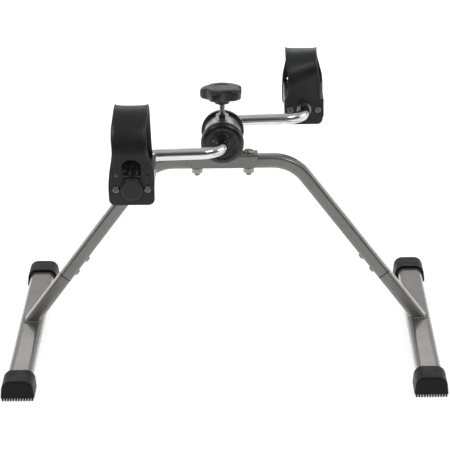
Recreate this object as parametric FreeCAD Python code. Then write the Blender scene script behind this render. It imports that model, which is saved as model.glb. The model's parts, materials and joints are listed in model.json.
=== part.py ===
import FreeCAD, Part
import math
import os

# Pedal exerciser: a bent-tube stand carrying a braked crank with two strapped pedals.
# Millimetres. +X runs across the stand, +Y along the crank's shaft (the front pedal is at -Y), +Z up.
# The origin is on the floor, under the middle of the stand.

Vector = FreeCAD.Vector
X_AXIS = Vector(1, 0, 0)
Y_AXIS = Vector(0, 1, 0)
Z_AXIS = Vector(0, 0, 1)
ORIGIN = Vector(0, 0, 0)

# ---------------------------------------------------------------- stand: driving sizes
STAND_WIDTH = 470.0        # between the centre lines of the two base tubes
STAND_DEPTH = 400.0        # over the end faces of the foot caps
ARCH_HEIGHT = 220.0        # floor to the centre line of the arch's level top
ARCH_CORNER_SPREAD = 166.0  # between the crossings of the leg lines with the top's centre line
ARCH_BEND = 50.0           # bend radius of the arch's centre line
TUBE_SIDE = 16.0           # square arch tube, outside
TUBE_CORNER = 4.5
TUBE_WALL = 1.4

BASE_WIDTH = 30.0
BASE_HEIGHT = 16.0
BASE_CORNER = 8.0
BASE_WALL = 1.5
POST_INSET = 1.0           # the post's foot stands this far inward of the base tube's centre line
POST_LENGTH = 70.4         # along the leg, from the weld to the shoulder
POST_EDGE_ROUND = 0.7      # at the post's upper end, where the arch tube meets it
NECK_LENGTH = 46.0         # of the post's reduced end, inside the arch tube
NECK_WALL = 1.6
NECK_CLEARANCE = 0.15      # all round, between the neck and the arch tube's bore

LEG_SCREW_FIRST = 12.5     # above the shoulder, along the leg
LEG_SCREW_PITCH = 20.9
LEG_SCREW_COUNT = 2
LEG_SCREW_RADIUS = 2.4
LEG_SCREW_LENGTH = 8.0
LEG_HEAD_RADIUS = 4.1
LEG_HEAD_HEIGHT = 2.6

CAP_LENGTH = 35.0
CAP_END_WALL = 3.0
CAP_FLOOR = 2.0
CAP_SIDE_WALL = 2.3        # at the tube's sides, where the cap is narrowest
CAP_TOP_WALL = 3.2
CAP_FLARE = 2.0            # how much further out each side stands at the bottom
CAP_TOP_CORNER = 11.0
CAP_EDGE_ROUND = 2.6
CAP_FIT = 0.1              # all round, between the cap's pocket and the tube
RIB_HEIGHT = 2.5
RIB_COUNT = 12
RIB_WIDTH = 1.8
RIB_MARGIN = 1.6           # from the first and the last rib to the cap's sides

# ---------------------------------------------------------------- saddle and its bolts
SADDLE_LENGTH = 82.8
SADDLE_PLATE = 2.5
SADDLE_FIT = 0.1           # each side, between the flanges and the tube
SADDLE_SHORT = 2.0         # the flanges stop this far above the tube's underside
SADDLE_LOWER_CORNER = 6.0
SADDLE_FOLD = 3.0          # outer radius of the two folds
SADDLE_BOLT_INSET = 10.9   # each bolt, from the saddle's end
SADDLE_BOLT_RADIUS = 3.1
SADDLE_HEAD_RADIUS = 6.5
SADDLE_HEAD_HEIGHT = 4.0
SADDLE_NUT_FLATS = 11.0
SADDLE_NUT_HEIGHT = 5.2
SADDLE_BOLT_PROUD = 3.2    # how far the bolt's end stands out of its nut
WASHER_THICKNESS = 1.2
WASHER_RIM = 3.6           # how much wider than its bolt a washer is, each side
BOLT_CLEARANCE = 0.3       # radial, in the bolts' and screws' clear holes

# ---------------------------------------------------------------- hub and brake
DRUM_RADIUS = 21.7
DRUM_WALL = 2.5
DRUM_LENGTH = 49.0
DRUM_SEAT = 0.3            # between the drum and the arch tube's top
HUB_CAP_WALL = 3.5         # round the drum
HUB_CAP_OVERLAP = 3.0      # how far the cap's rim reaches over the drum
HUB_CAP_THICKNESS = 7.0    # rim face to the drum's end
HUB_CAP_DISH = 4.0         # depth of the dished middle
HUB_CAP_FIT = 0.1
HUB_CAP_BORE_GAP = 0.8     # radial, round the turning shaft
HUB_SLOT_COUNT = 3
HUB_SLOT_WIDTH = 2.2
HUB_SLOT_LENGTH = 3.6
HUB_SLOT_FIRST_ANGLE = 50.0
BUSH_LENGTH = 11.5
RUNNING_FIT = 0.05         # radial, between every shaft and its bush or nut
SLEEVE_END_GAP = 1.0       # between the sleeve and each bush
SLEEVE_PIN_RADIUS = 2.0
SLEEVE_PIN_FROM_MIDDLE = 7.5
SLEEVE_PIN_SHORT = 0.6     # each end of a pin lies this far below the sleeve's face
BRAKE_GAP = 1.1            # between lining and sleeve with the brake off
SLEEVE_SHARE = 0.26        # of the room between bar and drum, taken by the sleeve's wall
LINING_SHARE = 0.16        # by the lining
SHOE_SHARE = 0.255         # by the shoe over the middle of the lining
SHOE_WIDTH = 12.0
SHOE_LENGTH = 20.0
SCREW_SOCKET = 1.8         # how deep the screw's tip stands in the shoe
SCREW_TIP_GAP = 0.05

# ---------------------------------------------------------------- tension screw and knob
SCREW_RADIUS = 3.1
SCREW_HOLE_GAP = 0.5       # radial, in the drum's wall
TENSION_NUT_FLATS = 13.0
TENSION_NUT_HEIGHT = 7.6
TENSION_NUT_SINK = 1.2     # how far the nut's corners reach down round the drum
KNOB_ABOVE_NUT = 13.2      # from the nut's top to the knob's boss
KNOB_RADIUS = 26.0
KNOB_LOBES = 5
KNOB_LOBE_ROUND = 9.0
KNOB_SCALLOP_ROUND = 10.0
KNOB_BODY_HEIGHT = 14.7
KNOB_EDGE_ROUND = 2.4
KNOB_SHOULDER = 6.5        # height of the lobes' tips before they turn into the dome
KNOB_SHOULDER_ROUND = 8.0
KNOB_CROWN_RADIUS = 13.0   # where the dome meets the level of the top
KNOB_CROWN_ROUND = 26.0
KNOB_BOSS_RADIUS = 9.0
KNOB_BOSS_HEIGHT = 9.0
KNOB_DISH_DEPTH = 1.8
KNOB_DISH_RADIUS = 10.5
KNOB_SCREW_DEPTH = 14.0    # of the screw inside the knob
KNOB_FIRST_LOBE_ANGLE = -110.0  # about +Z from +X

# ---------------------------------------------------------------- crank
BAR_RADIUS = 6.75
CRANK_THROW = 99.0        # shaft to pedal spindle
CRANK_ARM_OFFSET = 64.0    # from the stand's middle to each arm's centre line
BAR_BEND = 25.0
BAR_MIDDLE_GAP = 0.4       # between the two halves, inside the sleeve
CRANK_TILT = 1.3          # degrees; the front arm points left and this much down
SPINDLE_STEP = 1.75        # how much thinner the spindle is than the bar, each side
SPINDLE_END_RADIUS = 4.0
SPINDLE_TIP = 0.8          # how far the spindle shows past its nut
THRUST_WASHER = 1.2
THRUST_GAP = 0.3           # end play each side of the pedal

# ---------------------------------------------------------------- pedals and straps
PEDAL_INNER = 100.5        # from the stand's middle to the strap's inner panel
PEDAL_LENGTH = 86.5        # over both strap panels
PEDAL_HALF_WIDTH = 24.0
PEDAL_UP = 13.5            # top of the treads above the spindle's axis
PEDAL_DOWN = 15.0
PEDAL_PLATE = 4.0
PEDAL_BRIDGE_UP = 15.0     # top of the end plate's raised middle
PEDAL_BRIDGE_WIDTH = 26.0
TREAD_WIDTH = 9.5
TREAD_DEPTH = 5.0
PEDAL_WALL = 2.5           # the closed side wall under each tread
PEDAL_WALL_DOWN = 8.0
TREAD_GROOVES = 9
TREAD_GROOVE_WIDTH = 3.0
TREAD_GROOVE_DEPTH = 1.2
AXLE_TUBE_WALL = 2.05
AXLE_BOSS_WALL = 3.1       # round the counterbore
AXLE_BOSS_LENGTH = 14.0
WEB_COUNT = 3
WEB_THICKNESS = 3.0
WEB_HEIGHT = 10.0
PEDAL_BUSH_WALL = 1.5
PEDAL_BUSH_LENGTH = 10.0
PEDAL_BUSH_FLANGE = 1.0
PEDAL_BUSH_RIM = 2.4       # how much wider the flange is than the bush, each side
COUNTERBORE_GAP = 0.55     # radial, round the outer bush's flange
COUNTERBORE_DEPTH = 11.0
SPINDLE_NUT_FLATS = 13.0
SPINDLE_NUT_HEIGHT = 5.8
END_CAP_RIM = 3.7          # how much wider the disc is than the counterbore, each side
END_CAP_PROUD = 2.6        # how far the disc stands out of the strap's panel
END_CAP_PLUG = 3.0
END_CAP_WALL = 1.2
END_CAP_GAP = 0.3          # radial, in the strap's round hole

STRAP_THICKNESS = 2.0
STRAP_BOTTOM = 18.5        # below the spindle's axis
# Heights above the axis where the loop's top line meets the lines of the inner and the outer leg, and the
# share of the pedal's length that each shoulder's round takes. The rear loop has settled outwards.
STRAP_TOP = {"front": (82.0, 82.0), "rear": (77.1, 54.0)}
STRAP_SHOULDER_SHARE = {"front": (0.5, 0.5), "rear": (0.35, 0.29)}
# Outline of each panel and leg: (half width, height above the axis, corner radius), from the bottom up.
STRAP_SIDE_INNER = [(23.4, -STRAP_BOTTOM, 7), (22.0, 8, 6), (19.8, 17, 5), (19.1, 40, 25), (18.4, 83, 0)]
STRAP_SIDE_OUTER = [(23.6, -STRAP_BOTTOM, 7), (24.6, 2, 16), (24.0, 17, 12), (18.8, 42, 14), (18.4, 83, 0)]
WINDOW_WIDTH = 22.5
WINDOW_FROM = 14.0
WINDOW_TO = 33.0
INNER_HOLE_GAP = 0.65      # radial, round the inner bush's flange
STRAP_HEAD_GAP = 0.15      # between the disc's rim and the heads of the outer screws
STRAP_SCREW_SPREAD_INNER = 33.5
STRAP_HOLE_PITCH = 16.0    # the spare adjusting holes are this far above the screws
STRAP_SCREW_RADIUS = 2.0
STRAP_SCREW_LENGTH = 13.0
STRAP_HEAD_RADIUS = 4.15
STRAP_HEAD_HEIGHT = 2.4
SCREW_BOSS_RADIUS = 4.6
SCREW_BOSS_LENGTH = 12.0
CROSS_WIDTH = 1.1
CROSS_LENGTH = 4.4
CROSS_DEPTH = 1.4

# ---------------------------------------------------------------- places worked out from the sizes
BASE_BOTTOM = RIB_HEIGHT + CAP_FLOOR + CAP_FIT
BASE_TOP = BASE_BOTTOM + BASE_HEIGHT
CAP_TOP = BASE_TOP + CAP_FIT + CAP_TOP_WALL
BASE_X = STAND_WIDTH / 2
BASE_TUBE_LENGTH = STAND_DEPTH - 2 * CAP_END_WALL
POST_X = BASE_X - POST_INSET
LEG_ANGLE = math.atan2(ARCH_HEIGHT - BASE_TOP, POST_X - ARCH_CORNER_SPREAD / 2)
TUBE_TOP = ARCH_HEIGHT + TUBE_SIDE / 2
TUBE_BOTTOM = ARCH_HEIGHT - TUBE_SIDE / 2
SADDLE_TOP = TUBE_TOP + SADDLE_PLATE
SADDLE_BOLT_X = SADDLE_LENGTH / 2 - SADDLE_BOLT_INSET
HUB_Z = TUBE_TOP + DRUM_SEAT + DRUM_RADIUS
HUB = Vector(0, 0, HUB_Z)
DRUM_BORE = DRUM_RADIUS - DRUM_WALL
HUB_CAP_RADIUS = DRUM_RADIUS + HUB_CAP_FIT + HUB_CAP_WALL
BRAKE_ROOM = DRUM_BORE - BAR_RADIUS
SLEEVE_WALL = BRAKE_ROOM * SLEEVE_SHARE
SLEEVE_RADIUS = BAR_RADIUS + SLEEVE_WALL
SLEEVE_LENGTH = DRUM_LENGTH - 2 * BUSH_LENGTH - 2 * SLEEVE_END_GAP
LINING_LOW = SLEEVE_RADIUS + BRAKE_GAP
SHOE_LOW = LINING_LOW + BRAKE_ROOM * LINING_SHARE
SHOE_TOP = HUB_Z + SHOE_LOW + BRAKE_ROOM * SHOE_SHARE
SCREW_TIP = SHOE_TOP - SCREW_SOCKET + SCREW_TIP_GAP
NUT_TOP = HUB_Z + DRUM_RADIUS - TENSION_NUT_SINK + TENSION_NUT_HEIGHT
KNOB_BOTTOM = NUT_TOP + KNOB_ABOVE_NUT
PEDAL_OUTER = PEDAL_INNER + PEDAL_LENGTH
PLATE_INNER = PEDAL_INNER + STRAP_THICKNESS
PLATE_OUTER = PEDAL_OUTER - STRAP_THICKNESS
BUSH_FACE = PLATE_INNER - PEDAL_BUSH_FLANGE
SHOULDER = BUSH_FACE - THRUST_GAP - THRUST_WASHER
COUNTERBORE_FLOOR = PLATE_OUTER - COUNTERBORE_DEPTH
SPINDLE_SHOULDER = COUNTERBORE_FLOOR + PEDAL_BUSH_FLANGE + THRUST_GAP
SPINDLE_END = SPINDLE_SHOULDER + THRUST_WASHER + SPINDLE_NUT_HEIGHT + SPINDLE_TIP
SPINDLE_RADIUS = BAR_RADIUS - SPINDLE_STEP
PEDAL_BORE = SPINDLE_RADIUS + RUNNING_FIT + PEDAL_BUSH_WALL
AXLE_TUBE_RADIUS = PEDAL_BORE + AXLE_TUBE_WALL
COUNTERBORE_RADIUS = PEDAL_BORE + PEDAL_BUSH_RIM + COUNTERBORE_GAP
INNER_HOLE_RADIUS = PEDAL_BORE + PEDAL_BUSH_RIM + INNER_HOLE_GAP
AXLE_BOSS_RADIUS = COUNTERBORE_RADIUS + AXLE_BOSS_WALL
END_CAP_RADIUS = COUNTERBORE_RADIUS + END_CAP_RIM
STRAP_SCREW_SPREAD_OUTER = 2 * (END_CAP_RADIUS + STRAP_HEAD_GAP + STRAP_HEAD_RADIUS)
ARM_ACROSS = CRANK_THROW * math.cos(math.radians(CRANK_TILT))
ARM_DROP = CRANK_THROW * math.sin(math.radians(CRANK_TILT))
SPINDLE = {"front": Vector(-ARM_ACROSS, 0, HUB_Z - ARM_DROP), "rear": Vector(ARM_ACROSS, 0, HUB_Z + ARM_DROP)}
SIDES = {"left": -1, "right": 1}
ENDS = {"front": -1, "rear": 1}

nodes = {}


# ---------------------------------------------------------------- shape helpers
def rounded_outline(points, radii):
    """Closed wire in the XY plane through the points, each corner turned by an arc of its radius."""
    count = len(points)
    corners = []
    for i, point in enumerate(points):
        here = Vector(point[0], point[1], 0)
        before = Vector(points[i - 1][0], points[i - 1][1], 0) - here
        after = Vector(points[(i + 1) % count][0], points[(i + 1) % count][1], 0) - here
        before.normalize()
        after.normalize()
        half = before.getAngle(after) / 2
        reach = radii[i] / math.tan(half)
        middle = before + after
        middle.normalize()
        depth = radii[i] / math.sin(half) - radii[i]
        corners.append((here + before * reach, here + middle * depth, here + after * reach))
    edges = []
    for i, (start, middle, end) in enumerate(corners):
        if radii[i] > 0:
            edges.append(Part.Arc(start, middle, end).toShape())
        following = corners[(i + 1) % count][0]
        if end.distanceToPoint(following) > 1e-6:
            edges.append(Part.makeLine(end, following))
    return Part.Wire(edges)


def rounded_rectangle(width, height, corner):
    """Rounded rectangle about the origin of the XY plane."""
    half_w = width / 2
    half_h = height / 2
    points = [(-half_w, -half_h), (half_w, -half_h), (half_w, half_h), (-half_w, half_h)]
    return rounded_outline(points, [corner] * 4)


def placed(shape, origin, across, up):
    """The shape moved from the XY plane to the plane of the two directions."""
    turn = FreeCAD.Rotation(across, up, across.cross(up))
    moved = shape.copy()
    moved.Placement = FreeCAD.Placement(origin, turn)
    return moved


def prism(outline, length, origin, across, up):
    """The outline pushed out along across x up."""
    return placed(Part.Face(outline).extrude(Vector(0, 0, length)), origin, across, up)


def turned(points, radii, origin, across, axis):
    """Body of revolution: the points are (distance from the axis, distance along it)."""
    face = Part.Face(rounded_outline(points, radii))
    return placed(face.revolve(ORIGIN, Y_AXIS, 360), origin, across, axis)


def rod(radius, length, base, axis):
    return Part.makeCylinder(radius, length, base, axis)


def ring(outer, inner, length, base, axis):
    return rod(outer, length, base, axis).cut(rod(inner, length, base, axis))


def hexagon_nut(flats, bore, height, base, axis, across):
    """Hexagon nut with its corners chamfered by a turned envelope."""
    corner = flats / math.sqrt(3)
    chamfer = corner - flats / 2
    points = []
    for i in range(6):
        angle = math.radians(60 * i)
        points.append((corner * math.cos(angle), corner * math.sin(angle)))
    body = prism(rounded_outline(points, [0] * 6), height, base, across, axis.cross(across))
    outline = [(0, 0), (corner - chamfer, 0), (corner, chamfer * 0.6), (corner, height - chamfer * 0.6),
               (corner - chamfer, height), (0, height)]
    envelope = turned(outline, [0] * 6, base, across, axis)
    return body.common(envelope).cut(rod(bore, height, base, axis))


def dome_head(radius, height, base, axis, across):
    """Round screw head, flat underneath, with a rounded top."""
    outline = [(0, 0), (radius, 0), (radius, height), (0, height)]
    return turned(outline, [0, 0, height * 0.85, 0], base, across, axis)


def cross_recess(screw, base, height, axis, across):
    """The screw with a cross cut into its head, which stands this high over its base."""
    floor = base + axis * (height - CROSS_DEPTH)
    outline = rounded_rectangle(CROSS_LENGTH, CROSS_WIDTH, 0.2)
    for first, second in ((across, axis.cross(across)), (axis.cross(across), across * -1)):
        screw = screw.cut(prism(outline, CROSS_DEPTH * 2, floor, first, second))
    return screw


def fused(shapes):
    return shapes[0].multiFuse(shapes[1:]).removeSplitter()


def group(shapes):
    return Part.makeCompound(shapes)


def rounded_path(points, radius):
    """Open wire through the points, each inner corner turned by an arc of the radius."""
    edges = []
    start = points[0]
    for before, corner, after in zip(points, points[1:], points[2:]):
        back = before - corner
        ahead = after - corner
        back.normalize()
        ahead.normalize()
        half = back.getAngle(ahead) / 2
        reach = radius / math.tan(half)
        middle = back + ahead
        middle.normalize()
        enter = corner + back * reach
        leave = corner + ahead * reach
        edges.append(Part.makeLine(start, enter))
        edges.append(Part.Arc(enter, corner + middle * (radius / math.sin(half) - radius), leave).toShape())
        start = leave
    edges.append(Part.makeLine(start, points[-1]))
    return Part.Wire(edges)


# ---------------------------------------------------------------- stand
def base_tubes():
    for side, sign in SIDES.items():
        start = Vector(sign * BASE_X, BASE_TUBE_LENGTH / 2, BASE_BOTTOM + BASE_HEIGHT / 2)
        outer = prism(rounded_rectangle(BASE_WIDTH, BASE_HEIGHT, BASE_CORNER), BASE_TUBE_LENGTH, start,
                      X_AXIS, Z_AXIS)
        inner = prism(rounded_rectangle(BASE_WIDTH - 2 * BASE_WALL, BASE_HEIGHT - 2 * BASE_WALL,
                                        BASE_CORNER - BASE_WALL), BASE_TUBE_LENGTH, start, X_AXIS, Z_AXIS)
        nodes["base_tube_" + side] = outer.cut(inner)


def base_outer(sign):
    """The base tube without its bore, to fit the post's foot to it."""
    start = Vector(sign * BASE_X, BASE_TUBE_LENGTH / 2, BASE_BOTTOM + BASE_HEIGHT / 2)
    outline = rounded_rectangle(BASE_WIDTH, BASE_HEIGHT, BASE_CORNER)
    return prism(outline, BASE_TUBE_LENGTH, start, X_AXIS, Z_AXIS)


def foot_cap():
    """One cap, its end face at y = 0 and its open end towards +Y, on a base tube at x = 0."""
    bottom_half = BASE_WIDTH / 2 + CAP_FIT + CAP_SIDE_WALL + CAP_FLARE
    top_half = BASE_WIDTH / 2 + CAP_FIT + CAP_SIDE_WALL
    points = [(-bottom_half, RIB_HEIGHT), (-top_half, CAP_TOP), (top_half, CAP_TOP), (bottom_half, RIB_HEIGHT)]
    outline = rounded_outline(points, [1.2, CAP_TOP_CORNER, CAP_TOP_CORNER, 1.2])
    body = prism(outline, CAP_LENGTH, Vector(0, CAP_LENGTH, 0), X_AXIS, Z_AXIS)
    front_edges = [edge for edge in body.Edges
                   if edge.BoundBox.YMax < 0.01 and edge.BoundBox.ZMax > RIB_HEIGHT + 0.01]
    body = body.makeFillet(CAP_EDGE_ROUND, front_edges)
    pocket = rounded_rectangle(BASE_WIDTH + 2 * CAP_FIT, BASE_HEIGHT + 2 * CAP_FIT, BASE_CORNER + CAP_FIT)
    middle = BASE_BOTTOM + BASE_HEIGHT / 2
    body = body.cut(prism(pocket, CAP_LENGTH - CAP_END_WALL, Vector(0, CAP_LENGTH, middle), X_AXIS, Z_AXIS))
    first = RIB_MARGIN - bottom_half
    pitch = (-2 * first - RIB_WIDTH) / (RIB_COUNT - 1)
    ribs = []
    for i in range(RIB_COUNT):
        left = first + i * pitch
        ribs.append(Part.makeBox(RIB_WIDTH, CAP_LENGTH - 1.0, RIB_HEIGHT + CAP_FLOOR / 2, Vector(left, 0.6, 0)))
    return fused([body] + ribs)


def foot_caps():
    for end, end_sign in ENDS.items():
        for side, side_sign in SIDES.items():
            cap = foot_cap()
            if end_sign > 0:
                cap = cap.mirror(ORIGIN, Y_AXIS)
            cap.translate(Vector(side_sign * BASE_X, end_sign * STAND_DEPTH / 2, 0))
            nodes["foot_cap_" + end + "_" + side] = cap


def leg_frame(sign):
    """Foot point of a leg, its direction up the leg, and the normal of its inner, lower face."""
    foot = Vector(sign * POST_X, 0, BASE_TOP)
    along = Vector(-sign * math.cos(LEG_ANGLE), 0, math.sin(LEG_ANGLE))
    inner = Vector(-sign * math.sin(LEG_ANGLE), 0, -math.cos(LEG_ANGLE))
    return foot, along, inner


def leg_prism(sign, side, corner, start, end):
    """Rounded square bar along a leg, from one distance above its foot to another."""
    foot, along, inner = leg_frame(sign)
    across = Y_AXIS
    up = along.cross(across)
    return prism(rounded_rectangle(side, side, corner), end - start, foot + along * start, across, up)


def leg_screw_places(sign):
    foot, along, inner = leg_frame(sign)
    places = []
    for i in range(LEG_SCREW_COUNT):
        distance = POST_LENGTH + LEG_SCREW_FIRST + i * LEG_SCREW_PITCH
        places.append(foot + along * distance + inner * (TUBE_SIDE / 2))
    return places, inner, along


def posts():
    neck_side = TUBE_SIDE - 2 * TUBE_WALL - 2 * NECK_CLEARANCE
    neck_corner = TUBE_CORNER - TUBE_WALL - NECK_CLEARANCE
    bore_side = neck_side - 2 * NECK_WALL
    bore_corner = neck_corner - NECK_WALL
    for side, sign in SIDES.items():
        foot, along, inner = leg_frame(sign)
        body = leg_prism(sign, TUBE_SIDE, TUBE_CORNER, -BASE_HEIGHT / 2, POST_LENGTH)
        end_edges = [edge for edge in body.Edges
                     if all((vertex.Point - foot).dot(along) > POST_LENGTH - 0.01 for vertex in edge.Vertexes)]
        body = body.makeFillet(POST_EDGE_ROUND, end_edges)
        neck = leg_prism(sign, neck_side, neck_corner, POST_LENGTH - TUBE_SIDE, POST_LENGTH + NECK_LENGTH)
        bore = leg_prism(sign, bore_side, bore_corner, -BASE_HEIGHT, POST_LENGTH + NECK_LENGTH)
        post = fused([body, neck]).cut(bore).cut(base_outer(sign))
        places, inner, along = leg_screw_places(sign)
        for place in places:
            post = post.cut(rod(LEG_SCREW_RADIUS, LEG_SCREW_LENGTH, place, inner * -1))
        nodes["base_post_" + side] = post


def arch_tube():
    left_foot, left_along, left_inner = leg_frame(-1)
    right_foot, right_along, right_inner = leg_frame(1)
    corner = ARCH_CORNER_SPREAD / 2
    points = [left_foot + left_along * POST_LENGTH, Vector(-corner, 0, ARCH_HEIGHT),
              Vector(corner, 0, ARCH_HEIGHT), right_foot + right_along * POST_LENGTH]
    path = rounded_path(points, ARCH_BEND)
    up = left_along.cross(Y_AXIS)
    bore_side = TUBE_SIDE - 2 * TUBE_WALL
    outer = placed(rounded_rectangle(TUBE_SIDE, TUBE_SIDE, TUBE_CORNER), points[0], Y_AXIS, up)
    bore = placed(rounded_rectangle(bore_side, bore_side, TUBE_CORNER - TUBE_WALL), points[0], Y_AXIS, up)
    tube = path.makePipeShell([outer], True, True).cut(path.makePipeShell([bore], True, True))
    for sign in SIDES.values():
        places, inner, along = leg_screw_places(sign)
        for place in places:
            tube = tube.cut(rod(LEG_SCREW_RADIUS + BOLT_CLEARANCE, TUBE_SIDE / 2, place, inner * -1))
        bolt_x = sign * SADDLE_BOLT_X
        tube = tube.cut(rod(SADDLE_BOLT_RADIUS + BOLT_CLEARANCE, TUBE_SIDE * 2,
                            Vector(bolt_x, 0, ARCH_HEIGHT - TUBE_SIDE), Z_AXIS))
    nodes["arch_tube"] = tube


def leg_screws():
    for side, sign in SIDES.items():
        places, inner, along = leg_screw_places(sign)
        screws = []
        for place in places:
            shank = rod(LEG_SCREW_RADIUS, LEG_SCREW_LENGTH, place, inner * -1)
            head = dome_head(LEG_HEAD_RADIUS, LEG_HEAD_HEIGHT, place, inner, Y_AXIS)
            screws.append(cross_recess(fused([shank, head]), place, LEG_HEAD_HEIGHT, inner, Y_AXIS))
        nodes["leg_screws_" + side] = group(screws)


# ---------------------------------------------------------------- saddle
def saddle_bolt_places(z):
    return [Vector(sign * SADDLE_BOLT_X, 0, z) for sign in SIDES.values()]


def saddle():
    inside = TUBE_SIDE + 2 * SADDLE_FIT
    outside = inside + 2 * SADDLE_PLATE
    bottom = TUBE_BOTTOM + SADDLE_SHORT
    half = SADDLE_LENGTH / 2
    section = rounded_outline([(-outside / 2, bottom), (outside / 2, bottom), (outside / 2, SADDLE_TOP),
                               (-outside / 2, SADDLE_TOP)], [0, 0, SADDLE_FOLD, SADDLE_FOLD])
    channel = prism(section, SADDLE_LENGTH, Vector(-half, 0, 0), Y_AXIS, Z_AXIS)
    side_view = rounded_outline([(-half, bottom), (half, bottom), (half, SADDLE_TOP), (-half, SADDLE_TOP)],
                                [SADDLE_LOWER_CORNER, SADDLE_LOWER_CORNER, 1.0, 1.0])
    channel = channel.common(prism(side_view, outside, Vector(0, outside / 2, 0), X_AXIS, Z_AXIS))
    channel = channel.cut(Part.makeBox(SADDLE_LENGTH, inside, TUBE_TOP - bottom,
                                       Vector(-half, -inside / 2, bottom)))
    channel = channel.cut(rod(DRUM_RADIUS, outside, HUB - Y_AXIS * (outside / 2), Y_AXIS))
    for place in saddle_bolt_places(TUBE_TOP):
        channel = channel.cut(rod(SADDLE_BOLT_RADIUS + BOLT_CLEARANCE, SADDLE_PLATE, place, Z_AXIS))
    nodes["saddle_bracket"] = channel


def saddle_hardware():
    nut_top = TUBE_BOTTOM - WASHER_THICKNESS
    bolt_end = nut_top - SADDLE_NUT_HEIGHT - SADDLE_BOLT_PROUD
    bolts = []
    for place in saddle_bolt_places(SADDLE_TOP):
        shank = rod(SADDLE_BOLT_RADIUS, SADDLE_TOP - bolt_end, place, Z_AXIS * -1)
        head = dome_head(SADDLE_HEAD_RADIUS, SADDLE_HEAD_HEIGHT, place, Z_AXIS, X_AXIS)
        bolts.append(fused([shank, head]))
    nodes["saddle_bolts"] = group(bolts)
    nodes["saddle_washers"] = group([
        ring(SADDLE_BOLT_RADIUS + WASHER_RIM, SADDLE_BOLT_RADIUS, WASHER_THICKNESS, place, Z_AXIS * -1)
        for place in saddle_bolt_places(TUBE_BOTTOM)])
    nodes["saddle_nuts"] = group([
        hexagon_nut(SADDLE_NUT_FLATS, SADDLE_BOLT_RADIUS, SADDLE_NUT_HEIGHT, place, Z_AXIS * -1, X_AXIS)
        for place in saddle_bolt_places(nut_top)])


# ---------------------------------------------------------------- hub and brake
def hub():
    start = HUB - Y_AXIS * (DRUM_LENGTH / 2)
    drum = ring(DRUM_RADIUS, DRUM_BORE, DRUM_LENGTH, start, Y_AXIS)
    drum = drum.cut(rod(SCREW_RADIUS + SCREW_HOLE_GAP, DRUM_RADIUS * 2, HUB, Z_AXIS))
    nodes["hub_drum"] = drum
    for end, sign in ENDS.items():
        outward = Y_AXIS * sign
        bush_start = HUB + outward * (DRUM_LENGTH / 2 - BUSH_LENGTH)
        nodes["hub_bush_" + end] = ring(DRUM_BORE, BAR_RADIUS + RUNNING_FIT, BUSH_LENGTH, bush_start, outward)
        nodes["hub_cap_" + end] = hub_cap(outward)


def hub_cap(outward):
    """Dished round cover over the drum's end, with small slots round the shaft."""
    base = HUB + outward * (DRUM_LENGTH / 2)
    bore = BAR_RADIUS + HUB_CAP_BORE_GAP
    skirt_bore = DRUM_RADIUS + HUB_CAP_FIT
    dish_face = HUB_CAP_THICKNESS - HUB_CAP_DISH
    points = [(bore, 0), (skirt_bore, 0), (skirt_bore, -HUB_CAP_OVERLAP), (HUB_CAP_RADIUS, -HUB_CAP_OVERLAP),
              (HUB_CAP_RADIUS, HUB_CAP_THICKNESS), (HUB_CAP_RADIUS * 0.74, HUB_CAP_THICKNESS),
              (HUB_CAP_RADIUS * 0.56, dish_face), (bore, dish_face)]
    cap = turned(points, [0, 0, 0, 1.0, 3.6, 2.0, 3.0, 0], base, X_AXIS, outward)
    reach = bore + HUB_SLOT_WIDTH / 2 + 1.0
    for i in range(HUB_SLOT_COUNT):
        angle = math.radians(HUB_SLOT_FIRST_ANGLE + i * 360 / HUB_SLOT_COUNT)
        radial = Vector(math.cos(angle), 0, math.sin(angle))
        tangent = radial.cross(Y_AXIS)
        outline = rounded_rectangle(HUB_SLOT_WIDTH, HUB_SLOT_LENGTH, HUB_SLOT_WIDTH / 2.2)
        corner = base + radial * reach - Y_AXIS * (HUB_CAP_THICKNESS)
        cap = cap.cut(prism(outline, 2 * HUB_CAP_THICKNESS, corner, radial, Y_AXIS.cross(radial)))
    return cap


def brake():
    sleeve = ring(SLEEVE_RADIUS, BAR_RADIUS, SLEEVE_LENGTH, HUB - Y_AXIS * (SLEEVE_LENGTH / 2), Y_AXIS)
    pins = []
    pin_length = 2 * (SLEEVE_RADIUS - SLEEVE_PIN_SHORT)
    for sign in ENDS.values():
        start = HUB + Vector(-pin_length / 2, sign * SLEEVE_PIN_FROM_MIDDLE, 0)
        pins.append(rod(SLEEVE_PIN_RADIUS, pin_length, start, X_AXIS))
        hole = start - X_AXIS * SLEEVE_WALL
        sleeve = sleeve.cut(rod(SLEEVE_PIN_RADIUS, pin_length + 2 * SLEEVE_WALL, hole, X_AXIS))
    nodes["brake_sleeve"] = sleeve
    nodes["sleeve_pins"] = group(pins)
    start = HUB - Y_AXIS * (SHOE_LENGTH / 2)
    block = Part.makeBox(SHOE_WIDTH, SHOE_LENGTH, SHOE_TOP - HUB_Z, Vector(-SHOE_WIDTH / 2, -SHOE_LENGTH / 2, HUB_Z))
    outer = rod(SHOE_LOW, SHOE_LENGTH, start, Y_AXIS)
    shoe = block.cut(outer)
    shoe = shoe.cut(rod(SCREW_RADIUS + RUNNING_FIT, SCREW_SOCKET, Vector(0, 0, SHOE_TOP - SCREW_SOCKET), Z_AXIS))
    nodes["brake_shoe"] = shoe
    nodes["brake_lining"] = block.common(outer).cut(rod(LINING_LOW, SHOE_LENGTH, start, Y_AXIS))


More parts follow.
